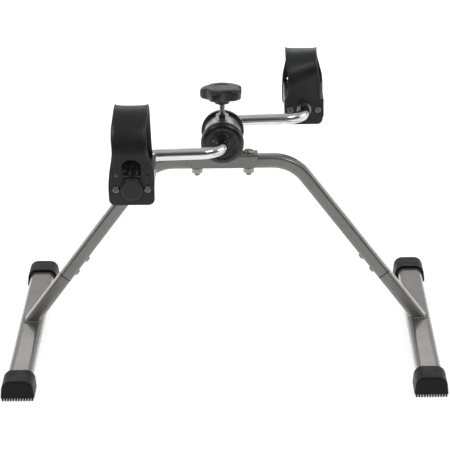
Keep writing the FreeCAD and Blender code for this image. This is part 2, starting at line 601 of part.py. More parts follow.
# ---------------------------------------------------------------- tension screw and knob
def tension():
    nut_bottom = NUT_TOP - TENSION_NUT_HEIGHT
    nut = hexagon_nut(TENSION_NUT_FLATS, SCREW_RADIUS + RUNNING_FIT, TENSION_NUT_HEIGHT,
                      Vector(0, 0, nut_bottom), Z_AXIS, X_AXIS)
    nodes["tension_nut"] = nut.cut(rod(DRUM_RADIUS, DRUM_LENGTH, HUB - Y_AXIS * (DRUM_LENGTH / 2), Y_AXIS))
    screw_top = KNOB_BOTTOM + KNOB_SCREW_DEPTH
    screw = rod(SCREW_RADIUS, screw_top - SCREW_TIP, Vector(0, 0, SCREW_TIP), Z_AXIS)
    nodes["tension_screw"] = screw
    nodes["tension_knob"] = knob().cut(screw)


def knob_outline():
    """Star outline: round lobes joined by round scallops, every arc tangent to the next."""
    lobe_reach = KNOB_RADIUS - KNOB_LOBE_ROUND
    half_pitch = math.pi / KNOB_LOBES
    link = KNOB_LOBE_ROUND + KNOB_SCALLOP_ROUND
    across = lobe_reach * math.cos(half_pitch)
    scallop_reach = across + math.sqrt(link ** 2 - (lobe_reach * math.sin(half_pitch)) ** 2)
    edges = []
    for i in range(KNOB_LOBES):
        lobe_angle = math.radians(KNOB_FIRST_LOBE_ANGLE) + 2 * i * half_pitch
        lobe = Vector(math.cos(lobe_angle), math.sin(lobe_angle), 0) * lobe_reach
        scallops = []
        for turn in (-half_pitch, half_pitch, 3 * half_pitch):
            scallop_angle = lobe_angle + turn
            scallops.append(Vector(math.cos(scallop_angle), math.sin(scallop_angle), 0) * scallop_reach)
        next_angle = lobe_angle + 2 * half_pitch
        next_lobe = Vector(math.cos(next_angle), math.sin(next_angle), 0) * lobe_reach
        share = KNOB_LOBE_ROUND / link
        enter = lobe + (scallops[0] - lobe) * share
        leave = lobe + (scallops[1] - lobe) * share
        tip = lobe * (KNOB_RADIUS / lobe_reach)
        beyond = next_lobe + (scallops[1] - next_lobe) * share
        trough = scallops[1] * ((scallop_reach - KNOB_SCALLOP_ROUND) / scallop_reach)
        edges.append(Part.Arc(enter, tip, leave).toShape())
        edges.append(Part.Arc(leave, trough, beyond).toShape())
    return Part.Wire(edges)


def knob():
    """Domed five-lobed knob with a shallow dish on top and a boss below."""
    body_bottom = KNOB_BOTTOM + KNOB_BOSS_HEIGHT
    body = prism(knob_outline(), KNOB_BODY_HEIGHT, Vector(0, 0, body_bottom), X_AXIS, Y_AXIS)
    low_rim = [edge for edge in body.Edges if edge.BoundBox.ZMax < body_bottom + 0.01]
    body = body.makeFillet(KNOB_EDGE_ROUND, low_rim)
    beyond = KNOB_RADIUS + 0.2
    dome = turned([(0, -1), (beyond, -1), (beyond, KNOB_SHOULDER), (KNOB_CROWN_RADIUS, KNOB_BODY_HEIGHT),
                   (0, KNOB_BODY_HEIGHT)], [0, 0, KNOB_SHOULDER_ROUND, KNOB_CROWN_ROUND, 0],
                  Vector(0, 0, body_bottom), X_AXIS, Z_AXIS)
    body = body.common(dome)
    top = body_bottom + KNOB_BODY_HEIGHT
    dish_ball = (KNOB_DISH_RADIUS ** 2 + KNOB_DISH_DEPTH ** 2) / (2 * KNOB_DISH_DEPTH)
    body = body.cut(Part.makeSphere(dish_ball, Vector(0, 0, top - KNOB_DISH_DEPTH + dish_ball)))
    boss = turned([(0, 0), (KNOB_BOSS_RADIUS, 0), (KNOB_BOSS_RADIUS + 1.0, KNOB_BOSS_HEIGHT + 1.0),
                   (0, KNOB_BOSS_HEIGHT + 1.0)], [0, 0.8, 0, 0], Vector(0, 0, KNOB_BOTTOM), X_AXIS, Z_AXIS)
    return fused([body, boss])


# ---------------------------------------------------------------- crank
def crank():
    for end, sign in ENDS.items():
        out = Y_AXIS * sign
        arm = SPINDLE[end] - HUB
        corner = HUB + out * CRANK_ARM_OFFSET
        points = [HUB + out * (BAR_MIDDLE_GAP / 2), corner, corner + arm, HUB + arm + out * SHOULDER]
        path = rounded_path(points, BAR_BEND)
        circle = Part.Wire(Part.makeCircle(BAR_RADIUS, points[0], Y_AXIS))
        bar = path.makePipeShell([circle], True, True)
        spindle = rod(SPINDLE_RADIUS, SPINDLE_SHOULDER - SHOULDER + 1.0, points[3] - out * 1.0, out)
        stub = rod(SPINDLE_END_RADIUS, SPINDLE_END - SPINDLE_SHOULDER + 1.0,
                   HUB + arm + out * (SPINDLE_SHOULDER - 1.0), out)
        half = fused([bar, spindle, stub])
        pin_hole = HUB + Vector(-SLEEVE_RADIUS, sign * SLEEVE_PIN_FROM_MIDDLE, 0)
        nodes["crank_" + end] = half.cut(rod(SLEEVE_PIN_RADIUS, 2 * SLEEVE_RADIUS, pin_hole, X_AXIS))
        washer_rim = SPINDLE_RADIUS + PEDAL_BUSH_WALL + PEDAL_BUSH_RIM
        inner_washer = ring(washer_rim, SPINDLE_RADIUS, THRUST_WASHER, points[3], out)
        outer_washer = ring(washer_rim, SPINDLE_END_RADIUS, THRUST_WASHER, HUB + arm + out * SPINDLE_SHOULDER, out)
        nodes["spindle_washers_" + end] = group([inner_washer, outer_washer])
        nut_face = HUB + arm + out * (SPINDLE_SHOULDER + THRUST_WASHER)
        nodes["spindle_nut_" + end] = hexagon_nut(SPINDLE_NUT_FLATS, SPINDLE_END_RADIUS, SPINDLE_NUT_HEIGHT,
                                                  nut_face, out, X_AXIS)


# ---------------------------------------------------------------- pedals
def pedal_prism(end, outline, near, far):
    """Outline in the pedal's X-Z plane, round the spindle, from one distance off the middle to another."""
    start = SPINDLE[end] + Y_AXIS * (ENDS[end] * near if ENDS[end] < 0 else far)
    return prism(outline, far - near, start, X_AXIS, Z_AXIS)


def pedal_rod(end, radius, near, far, x=0.0):
    out = Y_AXIS * ENDS[end]
    return rod(radius, far - near, SPINDLE[end] + X_AXIS * x + out * near, out)


def pedal_end_plate(end, near, far):
    half = PEDAL_HALF_WIDTH
    bridge = PEDAL_BRIDGE_WIDTH / 2
    points = [(-half, -PEDAL_DOWN), (half, -PEDAL_DOWN), (half, PEDAL_UP), (bridge + 2, PEDAL_UP),
              (bridge - 1, PEDAL_BRIDGE_UP), (1 - bridge, PEDAL_BRIDGE_UP), (-bridge - 2, PEDAL_UP),
              (-half, PEDAL_UP)]
    return pedal_prism(end, rounded_outline(points, [8, 8, 2, 1, 1, 1, 1, 2]), near, far)


def pedal_body(end):
    """One moulding: two end plates, two walled treads, the axle tube and the webs between them."""
    parts = [pedal_end_plate(end, PLATE_INNER, PLATE_INNER + PEDAL_PLATE),
             pedal_end_plate(end, PLATE_OUTER - PEDAL_PLATE, PLATE_OUTER),
             pedal_rod(end, AXLE_TUBE_RADIUS, PLATE_INNER, PLATE_OUTER),
             pedal_rod(end, AXLE_BOSS_RADIUS, PLATE_OUTER - AXLE_BOSS_LENGTH, PLATE_OUTER)]
    tread_length = PLATE_OUTER - PLATE_INNER
    groove_pitch = tread_length / (TREAD_GROOVES + 1)
    for sign in SIDES.values():
        inner = PEDAL_HALF_WIDTH - TREAD_WIDTH
        wall = PEDAL_HALF_WIDTH - PEDAL_WALL
        points = [(sign * inner, PEDAL_UP - TREAD_DEPTH), (sign * wall, PEDAL_UP - TREAD_DEPTH),
                  (sign * wall, -PEDAL_WALL_DOWN), (sign * PEDAL_HALF_WIDTH, -PEDAL_WALL_DOWN),
                  (sign * PEDAL_HALF_WIDTH, PEDAL_UP), (sign * inner, PEDAL_UP)]
        tread = pedal_prism(end, rounded_outline(points, [1.2, 1.2, 0.8, 1.2, 2, 1.2]), PLATE_INNER, PLATE_OUTER)
        low_corner = -PEDAL_HALF_WIDTH if sign < 0 else inner
        for i in range(TREAD_GROOVES):
            along = PLATE_INNER + (i + 1) * groove_pitch
            near_side = ENDS[end] * along - TREAD_GROOVE_WIDTH / 2
            corner = SPINDLE[end] + Vector(low_corner, near_side, PEDAL_UP - TREAD_GROOVE_DEPTH)
            tread = tread.cut(Part.makeBox(TREAD_WIDTH, TREAD_GROOVE_WIDTH, TREAD_GROOVE_DEPTH, corner))
        parts.append(tread)
        for near, far, spread in (
                (PLATE_INNER, PLATE_INNER + SCREW_BOSS_LENGTH, STRAP_SCREW_SPREAD_INNER),
                (PLATE_OUTER - SCREW_BOSS_LENGTH, PLATE_OUTER, STRAP_SCREW_SPREAD_OUTER)):
            parts.append(pedal_rod(end, SCREW_BOSS_RADIUS, near, far, sign * spread / 2))
    web_pitch = tread_length / (WEB_COUNT + 1)
    web = rounded_rectangle(2 * (PEDAL_HALF_WIDTH - TREAD_WIDTH / 2), WEB_HEIGHT, 1.0)
    for i in range(WEB_COUNT):
        near = PLATE_INNER + (i + 1) * web_pitch - WEB_THICKNESS / 2
        parts.append(pedal_prism(end, web, near, near + WEB_THICKNESS))
    body = fused(parts)
    body = body.cut(pedal_rod(end, PEDAL_BORE, PLATE_INNER, PLATE_OUTER))
    body = body.cut(pedal_rod(end, COUNTERBORE_RADIUS, COUNTERBORE_FLOOR, PLATE_OUTER))
    for near, far, spread in strap_screw_spans():
        for sign in SIDES.values():
            body = body.cut(pedal_rod(end, STRAP_SCREW_RADIUS, near, far, sign * spread / 2))
    return body


def strap_screw_spans():
    """Where the screws' shanks run: from, to and the spread of the pair, inner pair first."""
    return [(PEDAL_INNER, PEDAL_INNER + STRAP_SCREW_LENGTH, STRAP_SCREW_SPREAD_INNER),
            (PEDAL_OUTER - STRAP_SCREW_LENGTH, PEDAL_OUTER, STRAP_SCREW_SPREAD_OUTER)]


def pedal_bush(end, flange_near, sleeve_near):
    """Flanged bush; the flange and the sleeve start at their distances off the stand's middle."""
    outer = PEDAL_BORE
    flange = pedal_rod(end, outer + PEDAL_BUSH_RIM, flange_near, flange_near + PEDAL_BUSH_FLANGE)
    sleeve = pedal_rod(end, outer, sleeve_near, sleeve_near + PEDAL_BUSH_LENGTH)
    bore = pedal_rod(end, SPINDLE_RADIUS + RUNNING_FIT, PEDAL_INNER, PEDAL_OUTER)
    return fused([flange, sleeve]).cut(bore)


def strap_arch(end):
    """Outer line of the loop in side view, +X towards +Y, closed well below the panels."""
    half = PEDAL_LENGTH / 2
    inner_top, outer_top = STRAP_TOP[end]
    inner_round, outer_round = [share * PEDAL_LENGTH for share in STRAP_SHOULDER_SHARE[end]]
    foot = -2 * STRAP_BOTTOM
    towards = ENDS[end]
    points = [(-half * towards, foot), (half * towards, foot), (half * towards, outer_top),
              (-half * towards, inner_top)]
    return rounded_outline(points, [0, 0, outer_round, inner_round])


def strap_side(end, stations, near, far):
    """Solid as wide as the strap's outline, from one distance off the middle to another."""
    corners = stations + [(-half, z, radius) for half, z, radius in reversed(stations)]
    outline = rounded_outline([(half, z) for half, z, radius in corners], [radius for half, z, radius in corners])
    return pedal_prism(end, outline, near, far)


def strap(end):
    """Moulded strap: a loop over the foot whose ends widen to panels on the pedal's end plates."""
    middle = PEDAL_INNER + PEDAL_LENGTH / 2
    side = STRAP_SIDE_OUTER[1][0] + 2
    centre = SPINDLE[end] + Y_AXIS * (ENDS[end] * middle) - X_AXIS * side
    outer = strap_arch(end)
    inner = outer.makeOffset2D(-STRAP_THICKNESS)
    loop = prism(outer, 2 * side, centre, Y_AXIS, Z_AXIS).cut(prism(inner, 2 * side, centre, Y_AXIS, Z_AXIS))
    loop = fused([loop.common(strap_side(end, STRAP_SIDE_INNER, PEDAL_INNER, middle)),
                  loop.common(strap_side(end, STRAP_SIDE_OUTER, middle, PEDAL_OUTER))])
    window = rounded_outline([(-WINDOW_WIDTH / 2, WINDOW_FROM), (WINDOW_WIDTH / 2, WINDOW_FROM),
                              (WINDOW_WIDTH / 2, WINDOW_TO), (-WINDOW_WIDTH / 2, WINDOW_TO)], [2, 2, 9, 9])
    loop = loop.cut(pedal_prism(end, window, middle, PEDAL_OUTER))
    loop = loop.cut(pedal_rod(end, END_CAP_RADIUS + END_CAP_GAP, middle, PEDAL_OUTER))
    loop = loop.cut(pedal_rod(end, INNER_HOLE_RADIUS, PEDAL_INNER, middle))
    for near, far, spread in ((PEDAL_INNER, middle, STRAP_SCREW_SPREAD_INNER),
                              (middle, PEDAL_OUTER, STRAP_SCREW_SPREAD_OUTER)):
        for sign in SIDES.values():
            hole = pedal_rod(end, STRAP_SCREW_RADIUS, near, far, sign * spread / 2)
            spare = hole.copy()
            spare.translate(Z_AXIS * STRAP_HOLE_PITCH)
            loop = loop.cut(hole).cut(spare)
    return loop


def strap_screws(end, near, far, spread, head_at, head_axis):
    """A pair of pan-head screws with cross recesses, their heads on the strap's panel."""
    screws = []
    for sign in SIDES.values():
        x = sign * spread / 2
        shank = pedal_rod(end, STRAP_SCREW_RADIUS, near, far, x)
        base = SPINDLE[end] + X_AXIS * x + Y_AXIS * (ENDS[end] * head_at)
        screw = fused([shank, dome_head(STRAP_HEAD_RADIUS, STRAP_HEAD_HEIGHT, base, head_axis, X_AXIS)])
        screws.append(cross_recess(screw, base, STRAP_HEAD_HEIGHT, head_axis, X_AXIS))
    return group(screws)


def end_cap(end):
    """Round cover over the spindle's nut; it plugs into the pedal and stands out of the strap's hole."""
    out = Y_AXIS * ENDS[end]
    base = SPINDLE[end] + out * PLATE_OUTER
    plug = COUNTERBORE_RADIUS - CAP_FIT
    proud = STRAP_THICKNESS + END_CAP_PROUD
    hollow = plug - END_CAP_WALL
    points = [(0, END_CAP_WALL), (hollow, END_CAP_WALL), (hollow, -END_CAP_PLUG), (plug, -END_CAP_PLUG),
              (plug, 0), (END_CAP_RADIUS, 0), (END_CAP_RADIUS, proud), (0, proud)]
    return turned(points, [0, 0, 0, 0, 0, 0, END_CAP_PROUD * 0.9, 0], base, X_AXIS, out)


def pedals():
    for end, sign in ENDS.items():
        out = Y_AXIS * sign
        nodes["pedal_body_" + end] = pedal_body(end)
        nodes["pedal_strap_" + end] = strap(end)
        nodes["pedal_bush_inner_" + end] = pedal_bush(end, BUSH_FACE, PLATE_INNER)
        nodes["pedal_bush_outer_" + end] = pedal_bush(end, COUNTERBORE_FLOOR, COUNTERBORE_FLOOR - PEDAL_BUSH_LENGTH)
        nodes["pedal_end_cap_" + end] = end_cap(end)
        inner_span, outer_span = strap_screw_spans()
        nodes["strap_screws_inner_" + end] = strap_screws(end, *inner_span, PEDAL_INNER, out * -1)
        nodes["strap_screws_outer_" + end] = strap_screws(end, *outer_span, PEDAL_OUTER, out)


base_tubes()
foot_caps()
posts()
arch_tube()
leg_screws()
saddle()
saddle_hardware()
hub()
brake()
tension()
crank()
pedals()

os.makedirs("parts", exist_ok=True)
for name, shape in nodes.items():
    shape.exportStep("parts/" + name + ".step")
    print(name, len(shape.Solids), "solids", "valid" if shape.isValid() else "INVALID", round(shape.Volume, 1))
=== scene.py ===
"""Pedal exerciser: finishes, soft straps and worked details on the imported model, with a plain studio.

Metres, +X across the stand, +Y along the crank's shaft, +Z up. The front pedal is at -Y.
"""

import json
import logging
import math
from dataclasses import dataclass
from enum import Enum

import bpy
from mathutils import Matrix, Vector


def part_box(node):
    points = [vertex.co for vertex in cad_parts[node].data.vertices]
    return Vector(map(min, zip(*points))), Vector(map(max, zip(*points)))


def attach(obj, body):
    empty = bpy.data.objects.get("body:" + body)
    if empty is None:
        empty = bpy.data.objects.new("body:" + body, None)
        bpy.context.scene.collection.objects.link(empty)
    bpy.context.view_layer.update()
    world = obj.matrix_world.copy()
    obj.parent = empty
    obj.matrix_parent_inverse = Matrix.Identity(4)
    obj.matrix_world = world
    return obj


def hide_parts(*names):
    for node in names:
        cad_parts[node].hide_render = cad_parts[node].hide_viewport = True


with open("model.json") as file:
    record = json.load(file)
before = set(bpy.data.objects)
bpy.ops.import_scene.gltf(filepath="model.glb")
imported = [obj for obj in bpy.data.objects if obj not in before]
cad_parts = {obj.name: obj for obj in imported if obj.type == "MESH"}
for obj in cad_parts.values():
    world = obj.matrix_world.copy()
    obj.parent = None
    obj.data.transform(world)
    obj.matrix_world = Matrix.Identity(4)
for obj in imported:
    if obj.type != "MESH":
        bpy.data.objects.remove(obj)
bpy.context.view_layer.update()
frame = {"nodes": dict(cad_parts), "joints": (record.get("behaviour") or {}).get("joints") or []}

MM = 0.001
LOG = logging.getLogger("pedal_exerciser")


# ---------------------------------------------------------------- shader expressions
# The colour sockets of a Mix node share their names with its other kinds, so they go by number.
MIX_SHARE, MIX_FIRST, MIX_SECOND, MIX_RESULT = 0, 6, 7, 2


@dataclass
class Value:
    """An output socket of a node tree. Arithmetic on it adds Math nodes."""

    graph: "Graph"
    socket: bpy.types.NodeSocket | None

    def _math(self, operation: str, *values: object) -> "Value":
        """Adds one Math node."""
        return self.graph.node("ShaderNodeMath", {"operation": operation}, dict(enumerate(values)))

    def __add__(self, other: object) -> "Value":
        """Sum."""
        return self._math("ADD", self, other)

    def __radd__(self, other: object) -> "Value":
        """Sum, reflected."""
        return self._math("ADD", other, self)

    def __sub__(self, other: object) -> "Value":
        """Difference."""
        return self._math("SUBTRACT", self, other)

    def __rsub__(self, other: object) -> "Value":
        """Difference, reflected."""
        return self._math("SUBTRACT", other, self)

    def __mul__(self, other: object) -> "Value":
        """Product."""
        return self._math("MULTIPLY", self, other)

    def __rmul__(self, other: object) -> "Value":
        """Product, reflected."""
        return self._math("MULTIPLY", other, self)

    def __abs__(self) -> "Value":
        """Size without its sign."""
        return self._math("ABSOLUTE", self)

    def output(self, name: str | int) -> "Value":
        """Another output of the same node."""
        return Value(self.graph, self.socket.node.outputs[name])


class Graph:
    """The node tree of one material."""

    def __init__(self, name: str) -> None:
        """Starts an empty material.

        Args:
            name: The material's name.
        """
        self.material = bpy.data.materials.new(name)
        self.material.use_nodes = True
        self.tree = self.material.node_tree
        self.tree.nodes.clear()

    def node(self, kind: str, settings: dict | None = None, inputs: dict | None = None) -> Value:
        """Adds a node, sets it up and links it.

        Args:
            kind: The node's type.
            settings: Its properties, set first.
            inputs: Socket name or number to a number, a colour or a Value.

        Returns:
            The node's first output.
        """
        added = self.tree.nodes.new(kind)
        for name, setting in (settings or {}).items():
            setattr(added, name, setting)
        for name, given in (inputs or {}).items():
            socket = added.inputs[name]
            if isinstance(given, Value):
                self.tree.links.new(given.socket, socket)
            elif isinstance(given, tuple) and len(given) == 3 and socket.type == "RGBA":
                socket.default_value = (*given, 1.0)
            else:
                socket.default_value = given
        outputs = [output for output in added.outputs if output.enabled]
        return Value(self, outputs[0] if outputs else None)

    def place(self) -> Value:
        """Object coordinates."""
        return self.node("ShaderNodeTexCoord").output("Object")

    def stretched(self, scale: tuple[float, float, float]) -> Value:
        """Object coordinates scaled along each axis."""
        return self.node("ShaderNodeMapping", {}, {"Vector": self.place(), "Scale": scale})

    def noise(self, per_metre: float, detail: float = 3.0, where: Value | None = None) -> Value:
        """Soft noise from 0 to 1.

        Args:
            per_metre: Its cells per metre.
            detail: Its octaves.
            where: Its coordinates; Object coordinates if left out.

        Returns:
            The noise's value.
        """
        inputs = {"Vector": where or self.place(), "Scale": per_metre, "Detail": detail, "Roughness": 0.55}
        return self.node("ShaderNodeTexNoise", {}, inputs)

    def cells(self, per_metre: float) -> Value:
        """Distance to the nearest of a scatter of points, for grain and pits."""
        return self.node("ShaderNodeTexVoronoi", {}, {"Vector": self.place(), "Scale": per_metre})

    def between(self, value: Value, low: float, high: float,
                to_low: float = 0.0, to_high: float = 1.0) -> Value:
        """Eases a value from one range to another, held at both ends.

        Args:
            value: What is mapped.
            low: Where it starts to change.
            high: Where it stops changing.
            to_low: The outcome at and below low.
            to_high: The outcome at and above high.

        Returns:
            The mapped value.
        """
        return self.node("ShaderNodeMapRange", {"interpolation_type": "SMOOTHSTEP"},
                         {"Value": value, "From Min": low, "From Max": high,
                          "To Min": to_low, "To Max": to_high})

    def mix(self, share: object, first: object, second: object) -> Value:
        """A colour between two.

        Args:
            share: 0 for the first, 1 for the second.
            first: A colour.
            second: A colour.

        Returns:
            The mixed colour.
        """
        blend = self.node("ShaderNodeMix", {"data_type": "RGBA"},
                          {MIX_SHARE: share, MIX_FIRST: first, MIX_SECOND: second})
        return blend.output(MIX_RESULT)

    def bump(self, height: Value, depth: float, strength: float) -> Value:
        """A normal bumped by a height.

        Args:
            height: From 0 to 1.
            depth: What a height of 1 stands for, in metres.
            strength: How much of the bump shows.

        Returns:
            The normal.
        """
        return self.node("ShaderNodeBump", {}, {"Height": height, "Distance": depth, "Strength": strength})

    def surface(self, **sockets: object) -> bpy.types.Material:
        """Ends the tree with a Principled shader.

        Args:
            **sockets: Its inputs by name, with _ for a space.

        Returns:
            The finished material.
        """
        named = {name.replace("_", " "): given for name, given in sockets.items()}
        shader = self.node("ShaderNodeBsdfPrincipled", {}, named)
        self.node("ShaderNodeOutputMaterial", {}, {"Surface": shader})
        return self.material


# ---------------------------------------------------------------- finishes
@dataclass(frozen=True)
class Finish:
    """A surface finish. Each kind builds its own material."""

    name: str
    slot: str
    colour: tuple[float, float, float]
    roughness: float

    def tinted(self, share: float) -> tuple[float, float, float]:
        """The colour made lighter or darker."""
        return tuple(channel * share for channel in self.colour)

    def material(self) -> bpy.types.Material:
        """Builds the material."""
        raise NotImplementedError


@dataclass(frozen=True)
class Paint(Finish):
    """Glossy baked metallic paint, with a slight orange peel and a painted shade line at the legs' slip
    joints.
    """

    metal: float = 0.55
    lacquer: float = 0.9
    lacquer_roughness: float = 0.07
    clouds_per_metre: float = 9.0
    flakes_per_metre: float = 2600.0
    flake_share: float = 0.12
    flake_tint: float = 1.8
    smears_per_metre: float = 38.0
    peel_per_metre: float = 420.0
    peel_depth: float = 0.03 * MM
    joint_lean: float = math.radians(52.864)
    joint_reach: float = -54.44 * MM
    joint_half: float = 0.95 * MM
    # Painted shade at the slip joints: how strong the dark line is, and its colour as a share of the paint's.
    joint_shade_share: float = 0.92
    joint_shade_tint: float = 0.06

    def painted_joint_shade(self, g: Graph) -> Value:
        """The painted shade line round each leg, where the arch tube ends against the post's shoulder: a dark
        band that stands in for the shadow of the joint's gap.

        Args:
            g: The paint's node tree.

        Returns:
            How much painted shade lies there, from 0 to 1.
        """
        spot = g.node("ShaderNodeSeparateXYZ", {}, {"Vector": g.place()})
        rise, run = math.sin(self.joint_lean), math.cos(self.joint_lean)
        along = spot.output("Z") * rise - abs(spot.output("X")) * run
        return g.between(abs(along - self.joint_reach), self.joint_half * 0.35, self.joint_half,
                         self.joint_shade_share, 0.0)

    def material(self) -> bpy.types.Material:
        """Builds the material.

        Returns:
            The finished material.
        """
        g = Graph(self.name)
        sparkle = g.between(g.cells(self.flakes_per_metre), 0.0, 0.5, 1.0, 0.0)
        clouds = g.between(g.noise(self.clouds_per_metre, 2.0), 0.3, 0.7)
        colour = g.mix(sparkle * self.flake_share, g.mix(clouds, self.tinted(0.93), self.tinted(1.06)),
                       self.tinted(self.flake_tint))
        # Painted shade: a thin dark, unlacquered line round each leg's slip joint stands in for the joint
        # gap's shadow.
        painted_joint_shade = self.painted_joint_shade(g)
        smears = g.noise(self.smears_per_metre, 4.0)
        return g.surface(Base_Color=g.mix(painted_joint_shade, colour, self.tinted(self.joint_shade_tint)),
                         Roughness=g.between(smears, 0.3, 0.75, self.roughness * 0.85, self.roughness * 1.2),
                         Metallic=self.metal,
                         Coat_Weight=(1 - painted_joint_shade) * self.lacquer,
                         Coat_Roughness=self.lacquer_roughness,
                         Normal=g.bump(g.noise(self.peel_per_metre, 1.0), self.peel_depth, 0.35))


@dataclass(frozen=True)
class Moulded(Finish):
    """Moulded rubber or plastic with a fine grain, fine pits and places rubbed smooth by handling."""

    grain_per_metre: float
    grain_depth: float
    mottle: float = 0.25
    specular: float = 0.5
    clouds_per_metre: float = 30.0
    rubbed_per_metre: float = 70.0
    grain_tint: float = 1.9
    grain_share: float = 0.3

    def material(self) -> bpy.types.Material:
        """Builds the material.

        Returns:
            The finished material.
        """
        g = Graph(self.name)
        clouds = g.noise(self.clouds_per_metre, 3.0)
        grain = g.noise(self.grain_per_metre, 2.0)
        pits = g.between(g.cells(self.grain_per_metre * 0.6), 0.05, 0.6)
        tone = g.mix(g.between(clouds, 0.3, 0.72), self.tinted(1 - self.mottle), self.tinted(1 + self.mottle))
        colour = g.mix(g.between(grain, 0.35, 0.8) * self.grain_share, tone, self.tinted(self.grain_tint))
        rubbed = g.between(g.noise(self.rubbed_per_metre, 5.0), 0.35, 0.75, -0.05, 0.07)
        return g.surface(Base_Color=colour, Roughness=rubbed + self.roughness,
                         Specular_IOR_Level=self.specular,
                         Normal=g.bump(grain * 0.6 + pits * 0.4, self.grain_depth, 0.8))


@dataclass(frozen=True)
class Plated(Finish):
    """Plated or bare metal, smudged, with lines or fine unevenness of a given scale along each axis."""

    line_scale: tuple[float, float, float]
    line_depth: float
    spread: float = 0.3
    smudges_per_metre: float = 55.0
    smudge_tint: float = 0.86

    def material(self) -> bpy.types.Material:
        """Builds the material.

        Returns:
            The finished material.
        """
        g = Graph(self.name)
        smudge = g.noise(self.smudges_per_metre, 4.0)
        lines = g.noise(1.0, 3.0, g.stretched(self.line_scale))
        colour = g.mix(g.between(smudge, 0.35, 0.75), self.colour, self.tinted(self.smudge_tint))
        low, high = self.roughness * (1 - self.spread), self.roughness * (1 + self.spread)
        rough = (g.between(smudge, 0.3, 0.75, low, high)
                 + g.between(lines, 0.3, 0.7, 0.0, self.roughness * 0.3))
        return g.surface(Base_Color=colour, Metallic=1.0, Roughness=rough,
                         Normal=g.bump(lines, self.line_depth, 0.6))


class Coat(Enum):
    """Every finish of the exerciser."""

    FRAME = Paint("frame_paint_gloss", "frame_paint", (0.158, 0.151, 0.138), 0.36)
    FOOT = Moulded("foot_cap_rubber", "foot_rubber", (0.0036, 0.0036, 0.0039), 0.5,
                   1500.0, 0.03 * MM, specular=0.2)
    STRAP = Moulded("strap_rubber_satin", "strap_rubber", (0.0085, 0.0088, 0.0098), 0.41,
                    1900.0, 0.012 * MM, specular=0.42)
    PLASTIC = Moulded("black_plastic_moulded", "black_plastic", (0.0085, 0.0086, 0.0098), 0.30,
                      2200.0, 0.01 * MM, specular=0.45)
    CHROME = Plated("crank_chrome_bright", "crank_chrome", (0.68, 0.68, 0.69), 0.17,
                    (40.0, 40.0, 40.0), 0.001 * MM)
    DRUM = Plated("drum_steel_turned", "drum_steel", (0.74, 0.73, 0.71), 0.26,
                  (4.0, 1100.0, 4.0), 0.001 * MM)
    ZINC = Plated("zinc_steel_dull", "zinc_steel", (0.29, 0.285, 0.27), 0.20,
                  (900.0, 900.0, 900.0), 0.003 * MM)
    BLACKED = Plated("screw_steel_blacked", "zinc_steel", (0.16, 0.16, 0.16), 0.16,
                     (900.0, 900.0, 900.0), 0.003 * MM)
    NYLON = Moulded("nylon_bush", "nylon", (0.62, 0.60, 0.54), 0.45, 900.0, 0.01 * MM, mottle=0.06)
    LINING = Moulded("brake_lining_felt", "brake_lining", (0.10, 0.07, 0.05), 0.85, 1100.0, 0.15 * MM)


FINISHES = {coat: coat.value.material() for coat in Coat}
# Where two finishes share a slot, the first in Coat is the slot's own.
BY_SLOT = {coat.value.slot: FINISHES[coat] for coat in reversed(Coat)}


# ---------------------------------------------------------------- modelling helpers
MERGE = 0.002 * MM
Table = list[tuple[float, float]]


def clear_selection() -> None:
    """Deselects everything, in object mode."""
    if bpy.context.mode != "OBJECT":
        bpy.ops.object.mode_set(mode="OBJECT")
    bpy.ops.object.select_all(action="DESELECT")


def made(name: str) -> bpy.types.Object:
    """Names the object that an operator has just added.

    Args:
        name: Its name.

    Returns:
        The object.
    """
    piece = bpy.context.active_object
    piece.name = name
    piece.data.name = name
    return piece


def work_on(piece: bpy.types.Object) -> None:
    """Selects one piece and makes it the active one.

    Args:
        piece: The piece.
    """
    clear_selection()
    piece.select_set(True)
    bpy.context.view_layer.objects.active = piece


def apply_modifier(piece: bpy.types.Object, kind: str, **settings: object) -> None:
    """Adds a modifier, sets it up and applies it.

    Args:
        piece: The mesh object.
        kind: The modifier's type.
        **settings: Its properties.
    """
    work_on(piece)
    modifier = piece.modifiers.new(kind.lower(), kind)
    for name, setting in settings.items():
        setattr(modifier, name, setting)
    bpy.ops.object.modifier_apply(modifier=modifier.name)


def set_place() -> None:
    """Puts the selected piece's place, turn and scale into its mesh."""
    bpy.ops.object.transform_apply(location=True, rotation=True, scale=True)


def settle(piece: bpy.types.Object, smooth_angle: float) -> None:
    """Puts the place into the mesh, turns the faces outwards and shades the piece.

    Args:
        piece: The mesh object.
        smooth_angle: Edges sharper than this many degrees stay sharp.
    """
    work_on(piece)
    set_place()
    bpy.ops.object.mode_set(mode="EDIT")
    bpy.ops.mesh.select_all(action="SELECT")
    bpy.ops.mesh.remove_doubles(threshold=MERGE)
    bpy.ops.mesh.normals_make_consistent(inside=False)
    bpy.ops.object.mode_set(mode="OBJECT")
    bpy.ops.object.shade_smooth_by_angle(angle=math.radians(smooth_angle))


def round_cutter(radius: float, depth: float, place: Vector, corners: int,
                 level: bool = False) -> bpy.types.Object:
    """A round bar that cuts a hole.

    Args:
        radius: Its radius.
        depth: Its length.
        place: Its middle.
        corners: How many sides it has.
        level: Whether it lies along Y, and not upright.

    Returns:
        The cutter.
    """
    clear_selection()
    bpy.ops.mesh.primitive_cylinder_add(vertices=corners, radius=radius, depth=depth, location=place,
                                        rotation=(math.pi / 2 if level else 0, 0, 0))
    return made("cutter")


def cut_away(piece: bpy.types.Object, cutters: list[bpy.types.Object]) -> None:
    """Cuts the cutters out of the piece and removes them.

    Args:
        piece: What is cut.
        cutters: What is cut out of it, one by one.
    """
    for cutter in cutters:
        apply_modifier(piece, "BOOLEAN", operation="DIFFERENCE", solver="EXACT", object=cutter)
        bpy.data.objects.remove(cutter)


